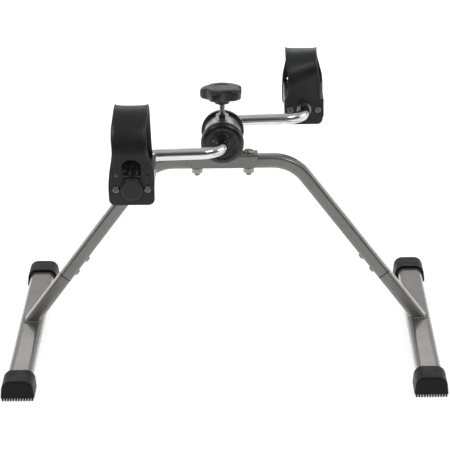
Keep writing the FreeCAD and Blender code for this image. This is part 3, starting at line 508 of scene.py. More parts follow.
def copied(piece: bpy.types.Object, name: str, offset: Vector) -> bpy.types.Object:
    """A copy with its own mesh, moved.

    Args:
        piece: What is copied.
        name: The copy's name.
        offset: How far it is moved.

    Returns:
        The copy.
    """
    twin = piece.copy()
    twin.data = piece.data.copy()
    twin.name = twin.data.name = name
    bpy.context.scene.collection.objects.link(twin)
    twin.data.transform(Matrix.Translation(offset))
    return twin


def joined(pieces: list[bpy.types.Object], name: str) -> bpy.types.Object:
    """Makes several pieces one object.

    Args:
        pieces: What is joined.
        name: The joined object's name.

    Returns:
        The joined object.
    """
    clear_selection()
    for piece in pieces:
        piece.select_set(True)
    bpy.context.view_layer.objects.active = pieces[0]
    bpy.ops.object.join()
    return made(name)


def turn_up(name: str, rings: Table, place: Vector, segments: int) -> bpy.types.Object:
    """Turned solid about an upright axis, drawn up ring by ring.

    Args:
        name: The piece's name.
        rings: (radius, height) of each ring, in metres, starting with a flat disc.
        place: The foot of the axis.
        segments: Corners of each ring.

    Returns:
        The closed piece.
    """
    clear_selection()
    radius, height = rings[0]
    bpy.ops.mesh.primitive_circle_add(vertices=segments, radius=radius, fill_type="NGON",
                                      location=place + Vector((0, 0, height)))
    piece = made(name)
    bpy.ops.object.mode_set(mode="EDIT")
    bpy.ops.mesh.select_all(action="SELECT")
    for next_radius, next_height in rings[1:]:
        rise = next_height - height
        bpy.ops.mesh.extrude_region_move(TRANSFORM_OT_translate={"value": (0, 0, rise)})
        share = next_radius / radius
        bpy.ops.transform.resize(value=(share, share, 1), center_override=place + Vector((0, 0, next_height)))
        radius, height = next_radius, next_height
    bpy.ops.object.mode_set(mode="OBJECT")
    set_place()
    return piece


def smooth_step(value: float, low: float, high: float) -> float:
    """Eases from 0 to 1.

    Args:
        value: Where it is read.
        low: Where it leaves 0.
        high: Where it reaches 1.

    Returns:
        A share from 0 to 1.
    """
    share = min(1.0, max(0.0, (value - low) / (high - low)))
    return share * share * (3 - 2 * share)


def along_table(value: float, table: Table) -> float:
    """Reads a table on a smooth curve through its rows, held at both ends.

    Args:
        value: The place that is looked up.
        table: Its rows.

    Returns:
        The outcome at that place.
    """
    if value <= table[0][0]:
        return table[0][1]
    inner = [(after[1] - before[1]) / (after[0] - before[0]) for before, after in zip(table, table[2:])]
    slopes = [0.0, *inner, 0.0]
    for row, ((low, first), (high, second)) in enumerate(zip(table, table[1:])):
        if value <= high:
            span = high - low
            share = (value - low) / span
            ease = share * share * (3 - 2 * share)
            rise = share * (1 - share)
            return (first + (second - first) * ease
                    + span * (slopes[row] * rise * (1 - share) - slopes[row + 1] * rise * share))
    return table[-1][1]


def mount(piece: bpy.types.Object, body: str, coat: Coat, *replaced: str) -> bpy.types.Object:
    """Dresses a finished piece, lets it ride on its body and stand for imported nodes.

    Args:
        piece: The finished mesh object.
        body: The body that it moves with.
        coat: Its finish.
        *replaced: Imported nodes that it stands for.

    Returns:
        The piece.
    """
    piece.data.materials.clear()
    piece.data.materials.append(FINISHES[coat])
    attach(piece, body)
    if replaced:
        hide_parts(*replaced)
    LOG.info("%s: %d faces on %s", piece.name, len(piece.data.polygons), body)
    return piece


def joint_place(name: str) -> Vector:
    """A point of a joint's axis, by the joint's name."""
    return Vector(next(joint["pos_m"] for joint in frame["joints"] if joint["name"] == name))


# ---------------------------------------------------------------- foot straps
# Half widths of the two legs, and how far the strap's middle strays sideways, each by height over the
# spindle's axis.
INNER_WIDTHS = [(-18.5 * MM, 23.4 * MM), (0.0, 22.6 * MM), (9 * MM, 21.8 * MM), (16 * MM, 20.2 * MM),
                (40 * MM, 19.1 * MM), (58 * MM, 18.6 * MM)]
OUTER_WIDTHS = [(-18.5 * MM, 25.3 * MM), (2 * MM, 25.5 * MM), (13 * MM, 25.2 * MM), (22 * MM, 24.3 * MM),
                (33 * MM, 21.7 * MM), (43 * MM, 19.6 * MM), (56 * MM, 19.4 * MM), (75 * MM, 18.9 * MM)]
FRONT_INNER_SWAY = [(0.0, 0.0), (60 * MM, -0.4 * MM)]
FRONT_OUTER_SWAY = [(-18 * MM, -0.2 * MM), (4 * MM, -0.4 * MM), (20 * MM, 0.2 * MM), (33 * MM, -0.5 * MM),
                    (44 * MM, -1.6 * MM), (66 * MM, -2.6 * MM), (82 * MM, -0.9 * MM)]
REAR_INNER_SWAY = [(0.0, -0.7 * MM), (16 * MM, -0.8 * MM), (28 * MM, -0.3 * MM), (39 * MM, -0.6 * MM),
                   (49 * MM, -2.1 * MM), (57 * MM, -3.4 * MM), (70 * MM, -3.8 * MM)]
REAR_OUTER_SWAY = [(10 * MM, 0.0), (40 * MM, -0.6 * MM), (56 * MM, -2.0 * MM)]

# Points of a line in side view, each with its outward direction. Both are (distance off the middle, height).
Line = list[tuple[Vector, Vector]]


class End(Enum):
    """The two pedals, with the direction from the stand's middle to each."""

    FRONT = -1
    REAR = 1

    @property
    def word(self) -> str:
        """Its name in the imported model."""
        return self.name.lower()


@dataclass
class FootStrap:
    """Moulded rubber strap over the foot: two panels and a loop, slightly cupped across, with lipped edges.

    Heights are above the spindle's axis, and distances off the middle grow outwards along the spindle.
    Inner and outer are the legs nearer to and further from the hub.
    """

    end: End
    inner_top: float
    outer_top: float
    inner_round: float
    outer_round: float
    inner_sway: Table
    outer_sway: Table
    twist: float = 0.0
    bow: float = 0.0
    bow_foot: float = 14 * MM
    bow_height: float = 60 * MM
    thickness: float = 2.0 * MM
    bottom: float = 18.5 * MM
    corner: float = 7.0 * MM
    crown_half: float = 22 * MM
    rows: int = 190
    columns: int = 30
    foot_crowding: float = 0.145
    edge_crowding: float = 0.35
    run_steps: int = 40
    arc_steps: int = 60
    lip: float = 0.55 * MM
    lip_share: tuple[float, float] = (0.86, 0.97)
    lip_rise: float = 9 * MM
    cup: float = 1.1 * MM
    cup_rise: tuple[float, float] = (26 * MM, 60 * MM)
    edge_round: float = 0.8 * MM
    screw_spreads: tuple[float, float] = (33.5 * MM, 35.0 * MM)
    hole: float = 2.0 * MM
    hole_pitch: float = 16.0 * MM
    inner_hole: float = 9.6 * MM
    disc_hole: float = 13.6 * MM
    hole_corners: int = 48
    window: tuple[float, float] = (21.0 * MM, 22.0 * MM)
    window_middle: float = 22.6 * MM
    window_round: float = 8.5 * MM
    cut_depth: float = 9 * MM

    def __post_init__(self) -> None:
        """Reads the strap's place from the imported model."""
        low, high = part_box("pedal_strap_" + self.end.word)
        self.axis = joint_place("pedal_" + self.end.word + "_spin")
        self.inner, self.outer = sorted((abs(low.y), abs(high.y)))
        self.middle = (self.inner + self.outer) / 2

    def outerness(self, off: float) -> float:
        """0 on the inner leg, 1 on the outer one, eased across the top."""
        return smooth_step(off, self.middle - self.crown_half, self.middle + self.crown_half)

    def run(self, first: Vector, last: Vector) -> Line:
        """A straight stretch of the strap's line.

        Args:
            first: Its start.
            last: Its end.

        Returns:
            Its points, none for a stretch of no length.
        """
        length = (last - first).length
        if length < MERGE / 20:
            return []
        direction = (last - first) / length
        normal = Vector((-direction.y, direction.x))
        return [(first + direction * length * step / self.run_steps, normal)
                for step in range(self.run_steps + 1)]

    def arc(self, centre: Vector, radius: float, enter: Vector, leave: Vector) -> Line:
        """A rounded corner of the strap's line.

        Args:
            centre: The middle of its circle.
            radius: The circle's radius.
            enter: Where it starts.
            leave: Where it ends.

        Returns:
            Its points.
        """
        first = math.atan2(enter.y - centre.y, enter.x - centre.x)
        last = math.atan2(leave.y - centre.y, leave.x - centre.x)
        turn = (last - first + math.pi) % (2 * math.pi) - math.pi
        normals = [Vector((math.cos(angle), math.sin(angle)))
                   for angle in (first + turn * step / self.arc_steps for step in range(self.arc_steps + 1))]
        return [(centre + normal * radius, normal) for normal in normals]

    def side_line(self, across: float) -> Line:
        """The loop's outer line in side view, for one place across the strap.

        Args:
            across: Place across the strap, from -1 to 1.

        Returns:
            Its points, from the inner foot to the outer one.
        """
        corners = [Vector(corner) for corner in ((self.inner, -self.bottom), (self.inner, self.inner_top),
                                                 (self.outer, self.outer_top), (self.outer, -self.bottom))]
        rounds = (self.inner_round * (1 - self.twist * across), self.outer_round * (1 + self.twist * across))
        points: Line = []
        start = corners[0]
        for before, here, after, radius in zip(corners, corners[1:], corners[2:], rounds):
            back, ahead = (before - here).normalized(), (after - here).normalized()
            half = back.angle(ahead) / 2
            reach = radius / math.tan(half)
            enter, leave = here + back * reach, here + ahead * reach
            centre = here + (back + ahead).normalized() * (radius / math.sin(half))
            points += self.run(start, enter) + self.arc(centre, radius, enter, leave)
            start = leave
        return self.evenly(points + self.run(start, corners[3]))

    def evenly(self, points: Line) -> Line:
        """Resamples a line so that its rows are close together at both feet and wider apart at the top.

        Args:
            points: The line.

        Returns:
            One point for each row of the strap's grid.
        """
        lengths = [0.0]
        for (first, _), (second, _) in zip(points, points[1:]):
            lengths.append(lengths[-1] + (second - first).length)
        found: Line = []
        place = 0
        for row in range(self.rows + 1):
            share = row / self.rows
            share -= math.sin(2 * math.pi * share) * self.foot_crowding
            wanted = share * lengths[-1]
            while place < len(lengths) - 2 and lengths[place + 1] < wanted:
                place += 1
            gap = lengths[place + 1] - lengths[place]
            part = (wanted - lengths[place]) / gap if gap > 1e-9 else 0.0
            found.append((points[place][0].lerp(points[place + 1][0], part),
                          points[place][1].lerp(points[place + 1][1], part).normalized()))
        return found

    def half_width(self, off: float, height: float) -> float:
        """Half the strap's width at a place on its line, with the panels' rounded corners.

        Args:
            off: Distance off the middle of the stand.
            height: Height over the spindle's axis.

        Returns:
            Half the width.
        """
        part = self.outerness(off)
        width = along_table(height, INNER_WIDTHS) * (1 - part) + along_table(height, OUTER_WIDTHS) * part
        over = height + self.bottom
        if over < self.corner:
            width -= self.corner - math.sqrt(max(0.0, self.corner ** 2 - (self.corner - over) ** 2))
        return width

    def proud(self, share: float, off: float, height: float) -> float:
        """How far the skin stands out of the strap's line, for its cup, lip and bow.

        Args:
            share: Place across the strap, from -1 to 1.
            off: Distance off the middle of the stand.
            height: Height over the spindle's axis.

        Returns:
            The distance outwards.
        """
        edge = abs(share)
        raised = self.cup * edge ** 3 * smooth_step(height, *self.cup_rise)
        fade = smooth_step(height + self.bottom, 0, self.lip_rise)
        raised += self.lip * smooth_step(edge, *self.lip_share) * fade
        swell = min(1.0, max(0.0, (height - self.bow_foot) / self.bow_height))
        return raised + self.outerness(off) * self.bow * math.sin(math.pi * swell)

    def skin(self) -> bpy.types.Object:
        """Lays a grid along the loop.

        Returns:
            The strap's outer skin, facing outwards.
        """
        clear_selection()
        bpy.ops.mesh.primitive_grid_add(x_subdivisions=self.columns, y_subdivisions=self.rows, size=2)
        piece = made("strap_" + self.end.word)
        places = sorted({round(vertex.co.x, 5) for vertex in piece.data.vertices})
        levels = sorted({round(vertex.co.y, 5) for vertex in piece.data.vertices})
        crowding = self.edge_crowding
        shares = {place: math.sin(place * math.pi / 2) * crowding + place * (1 - crowding)
                  for place in places}
        lines = {place: self.side_line(share) for place, share in shares.items()}
        rank = {level: index for index, level in enumerate(levels)}
        for vertex in piece.data.vertices:
            place = round(vertex.co.x, 5)
            (off, height), (out_off, out_up) = lines[place][rank[round(vertex.co.y, 5)]]
            share, part = shares[place], self.outerness(off)
            raised = self.proud(share, off, height)
            across = share * self.half_width(off, height)
            across += (along_table(height, self.inner_sway) * (1 - part)
                       + along_table(height, self.outer_sway) * part)
            vertex.co = (self.axis.x + across, self.end.value * (off + out_off * raised),
                         self.axis.z + height + out_up * raised)
        work_on(piece)
        bpy.ops.object.mode_set(mode="EDIT")
        bpy.ops.mesh.select_all(action="SELECT")
        bpy.ops.mesh.normals_make_consistent(inside=False)
        bpy.ops.object.mode_set(mode="OBJECT")
        crown = piece.data.polygons[len(piece.data.polygons) // 2]
        if crown.normal.z < 0:
            piece.data.flip_normals()
        return piece

    def hole_cutter(self, off: float, radius: float,
                    across: float = 0.0, height: float = 0.0) -> bpy.types.Object:
        """A round cutter through one panel.

        Args:
            off: The panel's distance off the middle of the stand.
            radius: The hole's radius.
            across: The hole's place beside the spindle's axis.
            height: Its height over the spindle's axis.

        Returns:
            The cutter.
        """
        place = Vector((self.axis.x + across, self.end.value * off, self.axis.z + height))
        return round_cutter(radius, self.cut_depth, place, self.hole_corners, level=True)

    def window_cutter(self) -> bpy.types.Object:
        """The arched window over the pedal's axle tube, in the outer panel only.

        Returns:
            Its cutter.
        """
        clear_selection()
        width, height = self.window
        middle = self.axis.z + self.window_middle
        bpy.ops.mesh.primitive_cube_add(size=1, scale=(width, self.cut_depth, height),
                                        location=(self.axis.x, self.end.value * self.outer, middle))
        cutter = made("cutter")
        set_place()
        bpy.ops.object.mode_set(mode="EDIT")
        bpy.ops.mesh.select_mode(type="EDGE")
        bpy.ops.mesh.select_all(action="DESELECT")
        bpy.ops.object.mode_set(mode="OBJECT")
        for edge in cutter.data.edges:
            first, last = (cutter.data.vertices[index].co for index in edge.vertices)
            edge.select = min(first.z, last.z) > middle and abs(first.x - last.x) < MERGE / 2
        bpy.ops.object.mode_set(mode="EDIT")
        bpy.ops.mesh.bevel(offset=self.window_round, segments=10, affect="EDGES")
        bpy.ops.object.mode_set(mode="OBJECT")
        return cutter

    def build(self) -> bpy.types.Object:
        """Makes the strap and mounts it on its pedal.

        Returns:
            The strap.
        """
        piece = self.skin()
        apply_modifier(piece, "SOLIDIFY", thickness=self.thickness, offset=-1.0, use_even_offset=False)
        apply_modifier(piece, "BEVEL", width=self.edge_round, segments=3, limit_method="ANGLE",
                       angle_limit=math.radians(55), harden_normals=False)
        cutters = [self.hole_cutter(self.inner, self.inner_hole), self.window_cutter(),
                   self.hole_cutter(self.outer, self.disc_hole)]
        panels = zip((self.inner, self.outer, self.outer), (*self.screw_spreads, self.screw_spreads[1]),
                     (0.0, 0.0, self.hole_pitch))
        for off, spread, height in panels:
            cutters += [self.hole_cutter(off, self.hole, sign * spread / 2, height) for sign in (-1, 1)]
        cut_away(piece, cutters)
        settle(piece, 40.0)
        return mount(piece, "pedal_" + self.end.word, Coat.STRAP, "pedal_strap_" + self.end.word)


# ---------------------------------------------------------------- tension knob and screw
@dataclass
class TensionKnob:
    """Soft-edged knob with five lobes, a domed top with a shallow dish, and a boss below."""

    reach: float = 17.0 * MM
    lobe: float = 9.0 * MM
    scallop: float = 10.0 * MM
    lobes: int = 5
    first_lobe: float = math.radians(-110.0)
    boss_height: float = 7.2 * MM
    crown_height: float = 13.3 * MM
    softness: float = 22.0
    segments: int = 160

    def outline(self, angle: float) -> float:
        """The lobed outline: lobes and the scallops between them, as arcs that touch.

        Args:
            angle: A direction from the axis.

        Returns:
            The distance from the axis to the outline.
        """
        pitch = 2 * math.pi / self.lobes
        off = (angle - self.first_lobe + pitch / 2) % pitch - pitch / 2
        link = self.lobe + self.scallop
        beyond = (self.reach * math.cos(pitch / 2)
                  + math.sqrt(link ** 2 - (self.reach * math.sin(pitch / 2)) ** 2))
        scallop_middle = Vector((beyond * math.cos(pitch / 2), beyond * math.sin(pitch / 2)))
        touch = Vector((self.reach, 0)).lerp(scallop_middle, self.lobe / link)
        if abs(off) <= math.atan2(touch.y, touch.x):
            return self.reach * math.cos(off) + math.sqrt(self.lobe ** 2 - (self.reach * math.sin(off)) ** 2)
        aside = pitch / 2 - abs(off)
        return beyond * math.cos(aside) - math.sqrt(self.scallop ** 2 - (beyond * math.sin(aside)) ** 2)

    def rings(self) -> Table:
        """Radius and height of each ring before it is drawn in to the outline.

        Returns:
            The rings, up the boss and the underside, round the rim and over the crown into the dish.
        """
        full, boss, top = self.reach + self.lobe, -self.boss_height, self.crown_height
        return [(7.6 * MM, boss), (8.6 * MM, boss + 0.2 * MM), (9.0 * MM, boss + 0.8 * MM),
                (9.3 * MM, -2.6 * MM), (9.7 * MM, -0.9 * MM), (10.6 * MM, -0.2 * MM), (13.0 * MM, 0.0),
                (0.84 * full, 0.0), (0.94 * full, 0.2 * MM), (1.01 * full, 0.8 * MM), (1.07 * full, 1.9 * MM),
                (1.12 * full, 3.8 * MM), (1.12 * full, 6.2 * MM), (1.07 * full, 8.2 * MM),
                (0.99 * full, 9.8 * MM), (0.90 * full, 11.1 * MM), (0.80 * full, 12.0 * MM),
                (0.69 * full, 12.7 * MM), (0.58 * full, 13.1 * MM), (0.47 * full, top),
                (11.2 * MM, top - 0.1 * MM), (10.6 * MM, top - 0.3 * MM), (9.9 * MM, top - 0.6 * MM),
                (8.6 * MM, top - 0.9 * MM), (5.0 * MM, top - 1.1 * MM), (1.2 * MM, top - 1.15 * MM)]

    def build(self) -> bpy.types.Object:
        """Makes the knob and mounts it.

        Returns:
            The knob.
        """
        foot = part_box("tension_knob")[0].z + self.boss_height
        piece = turn_up("tension_knob_lobed", self.rings(), Vector((0, 0, foot)), self.segments)
        for vertex in piece.data.vertices:
            radius = math.hypot(vertex.co.x, vertex.co.y)
            angle = math.atan2(vertex.co.y, vertex.co.x)
            share = (1 + (radius / self.outline(angle)) ** self.softness) ** (-1 / self.softness)
            vertex.co.x *= share
            vertex.co.y *= share
        settle(piece, 60.0)
        return mount(piece, "knob", Coat.PLASTIC, "tension_knob")


# One tooth of a thread: height as a share of the pitch, and whether it is on the crest.
TOOTH = ((0.0, False), (0.12, False), (0.45, True), (0.62, True), (0.95, False), (1.0, False))
TOOTH_DEPTH = 0.6
THREAD_STEPS = 28


def thread(name: str, radius: float, pitch: float, low: float, high: float,
           centre: Vector) -> bpy.types.Object:
    """An upright threaded rod, made by screwing one tooth round the axis.

    Args:
        name: The piece's name.
        radius: To the crests.
        pitch: From tooth to tooth.
        low: Height of the lower end.
        high: Height of the upper end.
        centre: A point of the axis.

    Returns:
        The closed rod.
    """
    root = radius - TOOTH_DEPTH * pitch
    turns = math.ceil((high - low) / pitch)
    tooth = [(radius if crest else root, 0, share * pitch) for share, crest in TOOTH]
    mesh = bpy.data.meshes.new(name)
    mesh.from_pydata(tooth, [(step, step + 1) for step in range(len(tooth) - 1)], [])
    rod = bpy.data.objects.new(name, mesh)
    bpy.context.scene.collection.objects.link(rod)
    apply_modifier(rod, "SCREW", angle=2 * math.pi, screw_offset=pitch, iterations=turns, axis="Z",
                   steps=THREAD_STEPS, render_steps=THREAD_STEPS, use_merge_vertices=True,
                   merge_threshold=MERGE / 2)
    rod.data.transform(Matrix.Translation((centre.x, centre.y, low - pitch * 0.5)))
    work_on(rod)
    bpy.ops.object.mode_set(mode="EDIT")
    for height, normal in ((low, (0, 0, -1)), (high, (0, 0, 1))):
        bpy.ops.mesh.select_all(action="SELECT")
        bpy.ops.mesh.bisect(plane_co=(centre.x, centre.y, height), plane_no=normal, clear_outer=True,
                            use_fill=True)
    bpy.ops.object.mode_set(mode="OBJECT")
    settle(rod, 30.0)
    return made(name)


@dataclass
class TensionScrew:
    """The tension screw's threaded stem."""

    pitch: float = 1.0 * MM

    def build(self) -> bpy.types.Object:
        """Makes the stem and mounts it.

        Returns:
            The stem.
        """
        low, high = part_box("tension_screw")
        rod = thread("tension_screw_threaded", (high.x - low.x) / 2, self.pitch, low.z, high.z,
                     Vector((0, 0, 0)))
        return mount(rod, "knob", Coat.ZINC, "tension_screw")


@dataclass
class SaddleBolts:
    """The two dome-headed bolts through the saddle, threaded at their lower ends."""

    pitch: float = 1.0 * MM
    plain: float = 24.0 * MM
    radius: float = 3.1 * MM
    head: float = 6.5 * MM
    head_height: float = 4.0 * MM
    segments: int = 56

    def rings(self, seat: float) -> Table:
        """Radius and height of each ring of the plain shank and the domed head.

        Args:
            seat: Height of the head's underside.

        Returns:
            The rings, from the shank's foot to the head's crown.
        """
        radius, head = self.radius, self.head
        return [(radius, seat - self.plain), (radius, seat - 0.02 * MM), (head - 0.3 * MM, seat),
                (head, seat + 0.35 * MM), (head * 0.985, seat + 0.9 * MM), (head * 0.93, seat + 1.7 * MM),
                (head * 0.83, seat + 2.5 * MM), (head * 0.68, seat + 3.2 * MM),
                (head * 0.48, seat + 3.7 * MM), (head * 0.25, seat + 3.94 * MM),
                (head * 0.06, seat + self.head_height)]

    def build(self) -> bpy.types.Object:
        """Makes one bolt, copies it and mounts the pair.

        Returns:
            The pair, as one piece.
        """
        low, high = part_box("saddle_bolts")
        centre = Vector((high.x - self.head, 0, 0))
        seat = high.z - self.head_height
        body = turn_up("bolt", self.rings(seat), centre, self.segments)
        rod = thread("bolt_thread", self.radius, self.pitch, low.z, seat - self.plain, centre)
        bolt = joined([body, rod], "saddle_bolt_right")
        settle(bolt, 40.0)
        twin = copied(bolt, "saddle_bolt_left", -2 * centre)
        pair = joined([bolt, twin], "saddle_bolts_threaded")
        return mount(pair, "frame", Coat.ZINC, "saddle_bolts")


# ---------------------------------------------------------------- hub caps
@dataclass
class HubCap:
    """Moulded end cap of the drum: a soft roll round a dished middle, with slots round the shaft."""

    end: End
    overlap: float = 3.0 * MM
    drum_radius: float = 21.8 * MM
    roll_foot: float = 1.6 * MM
    roll_width: float = 6.2 * MM
    roll_steps: int = 12
    dish_width: float = 8.4 * MM
    dish_depth: float = 4.0 * MM
    dish_steps: int = 10
    bore: float = 7.55 * MM
    slots: int = 3
    slot_reach: float = 10.5 * MM
    slot_width: float = 2.8 * MM
    slot_length: float = 4.8 * MM
    slot_depth: float = 30.0 * MM
    slot_corners: int = 24
    first_slot: float = 50.0
    segments: int = 96

    def rings(self, rim: float, face: float) -> Table:
        """Radius and height of each ring: skirt, roll, dish and flat floor.

        Args:
            rim: The cap's radius.
            face: Height of the roll's top over the drum's end.

        Returns:
            The rings, from the skirt's edge to the middle.
        """
        found = [(rim - 0.5 * MM, -self.overlap), (rim - 0.1 * MM, 0.15 * MM - self.overlap),
                 (rim, 0.6 * MM - self.overlap), (rim, self.roll_foot)]
        for step in range(1, self.roll_steps + 1):
            angle = math.pi / 2 * step / self.roll_steps
            found.append((rim - self.roll_width * (1 - math.cos(angle)),
                          self.roll_foot + (face - self.roll_foot) * math.sin(angle)))
        for step in range(1, self.dish_steps + 1):
            share = step / self.dish_steps
            found.append((rim - self.roll_width - self.dish_width * share,
                          face - self.dish_depth * smooth_step(share, 0, 1)))
        return found + [(9.4 * MM, face - self.dish_depth), (4.0 * MM, face - self.dish_depth)]

    def slot(self, angle: float) -> bpy.types.Object:
        """A round-ended cutter beside the shaft.

        Args:
            angle: Its direction from the shaft's axis.

        Returns:
            The cutter.
        """
        place = Vector((math.cos(angle), math.sin(angle), 0)) * self.slot_reach
        cutter = round_cutter(self.slot_width / 2, self.slot_depth, place, self.slot_corners)
        set_place()
        side = Vector((-math.sin(angle), math.cos(angle), 0))
        for vertex in cutter.data.vertices:
            along = (vertex.co - place).dot(side)
            vertex.co += side * math.copysign((self.slot_length - self.slot_width) / 2, along)
        return cutter

    def build(self) -> bpy.types.Object:
        """Makes the cap lying down, stands it on its side and mounts it.

        Returns:
            The cap.
        """
        low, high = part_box("hub_cap_" + self.end.word)
        face = high.y - low.y - self.overlap
        piece = turn_up("hub_cap_" + self.end.word + "_rolled", self.rings((high.x - low.x) / 2, face),
                        Vector((0, 0, 0)), self.segments)
        cutters = [round_cutter(self.bore, 30 * MM, Vector((0, 0, 5 * MM)), self.segments),
                   round_cutter(self.drum_radius, self.overlap + 5 * MM,
                                Vector((0, 0, -(self.overlap + 5 * MM) / 2)), self.segments)]
        cutters += [self.slot(math.radians(self.first_slot + 360 / self.slots * index))
                    for index in range(self.slots)]
        cut_away(piece, cutters)
        hub = joint_place("crank_spin")
        outward = self.end.value
        seat = (high.y if outward > 0 else -low.y) - face
        side = Matrix(((-outward, 0, 0), (0, 0, outward), (0, 1, 0))).to_4x4()
        piece.data.transform(Matrix.Translation((hub.x, outward * seat, hub.z)) @ side)
        settle(piece, 40.0)
        return mount(piece, "frame", Coat.PLASTIC, "hub_cap_" + self.end.word)


# ---------------------------------------------------------------- welds
@dataclass
class FootWeld:
    """Rough weld bead round the foot of a leg post, where it stands on its base tube."""

    side: str
    tube: float = 16.0 * MM
    tube_corner: float = 4.5 * MM
    foot_inset: float = 1.0 * MM
    leg_point: tuple[float, float] = (83 * MM, 220 * MM)
    bead: float = 1.45 * MM
    flatness: float = 0.85
    outset: float = 0.35 * MM
    lift: float = 0.15 * MM
    base_corner: float = 8.0 * MM
    ring_radius: float = 10 * MM
    segments: int = 220

    def rim(self, angle: float, slope: float) -> Vector:
        """The outline of the post's foot, where the leaning tube meets the base tube's flat top.

        Args:
            angle: A direction from the foot's middle.
            slope: Sine of the leg's angle to the floor.

        Returns:
            The outline's point in that direction, from the foot's middle.
        """
        half, corner = self.tube / 2, self.tube_corner
        side_x, side_y = abs(math.cos(angle)), abs(math.sin(angle))
        reach = min(half / max(side_x, 1e-9), half / max(side_y, 1e-9))
        inner = half - corner
        if side_x * reach > inner and side_y * reach > inner:
            along = inner * (side_x + side_y)
            reach = along + math.sqrt(max(0.0, along ** 2 - 2 * inner ** 2 + corner ** 2))
        return Vector((reach * math.cos(angle) / slope, reach * math.sin(angle)))

    def ripple(self, turn: float, sign: int) -> tuple[float, float]:
        """The bead's unevenness, from waves along it whose lengths don't divide each other.

        Args:
            turn: A direction from the foot's middle.
            sign: -1 on the left and 1 on the right, so that the two beads differ.

        Returns:
            Its size and its spread there, as shares of the plain bead's.
        """
        length = turn * 11.0
        quick = 0.13 * math.sin(length * 4.1 + math.sin(length * 1.3))
        size = 1 + quick + 0.10 * math.sin(length * 1.7 + sign)
        return size, 1.15 + 0.12 * math.sin(length * 0.9)

    def build(self) -> bpy.types.Object:
        """Makes the bead and mounts it.

        Returns:
            The bead.
        """
        sign = -1 if self.side == "left" else 1
        low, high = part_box("base_tube_" + self.side)
        middle = (low.x + high.x) / 2
        flat_half = (high.x - low.x) / 2 - self.base_corner
        foot = middle - sign * self.foot_inset
        slope = math.sin(math.atan2(self.leg_point[1] - high.z, abs(foot) - self.leg_point[0]))
        clear_selection()
        bpy.ops.mesh.primitive_torus_add(major_segments=self.segments, minor_segments=14,
                                         major_radius=self.ring_radius, minor_radius=MM)
        piece = made("foot_weld_" + self.side)
        for vertex in piece.data.vertices:
            turn = math.atan2(vertex.co.y, vertex.co.x)
            out = (math.hypot(vertex.co.x, vertex.co.y) - self.ring_radius) / MM
            up = vertex.co.z / MM
            ripple, spread = self.ripple(turn, sign)
            size = self.bead * ripple
            direction = Vector((math.cos(turn), math.sin(turn)))
            place = self.rim(turn, slope) + direction * (out * size * spread + self.outset)
            over = min(max(0.0, abs(foot + place.x - middle) - flat_half), self.base_corner)
            drop = self.base_corner - math.sqrt(max(0.0, self.base_corner ** 2 - over ** 2))
            vertex.co = (foot + place.x, place.y, high.z - drop + up * size * self.flatness + self.lift)
        settle(piece, 80.0)
        return mount(piece, "frame", Coat.FRAME)


# ---------------------------------------------------------------- studio
@dataclass(frozen=True)
class Lamp:
    """A soft area light."""

    name: str
    place: tuple[float, float, float]
    aim: tuple[float, float, float]
    size: tuple[float, float]
    watts: float

    def hang(self) -> None:
        """Puts the light up."""
        data = bpy.data.lights.new(self.name, "AREA")
        data.shape = "RECTANGLE"
        data.size, data.size_y = self.size
        data.energy = self.watts
        lamp = bpy.data.objects.new(self.name, data)
        bpy.context.scene.collection.objects.link(lamp)
        lamp.location = self.place
        lamp.rotation_mode = "QUATERNION"
        lamp.rotation_quaternion = (Vector(self.aim) - Vector(self.place)).to_track_quat("-Z", "Y")


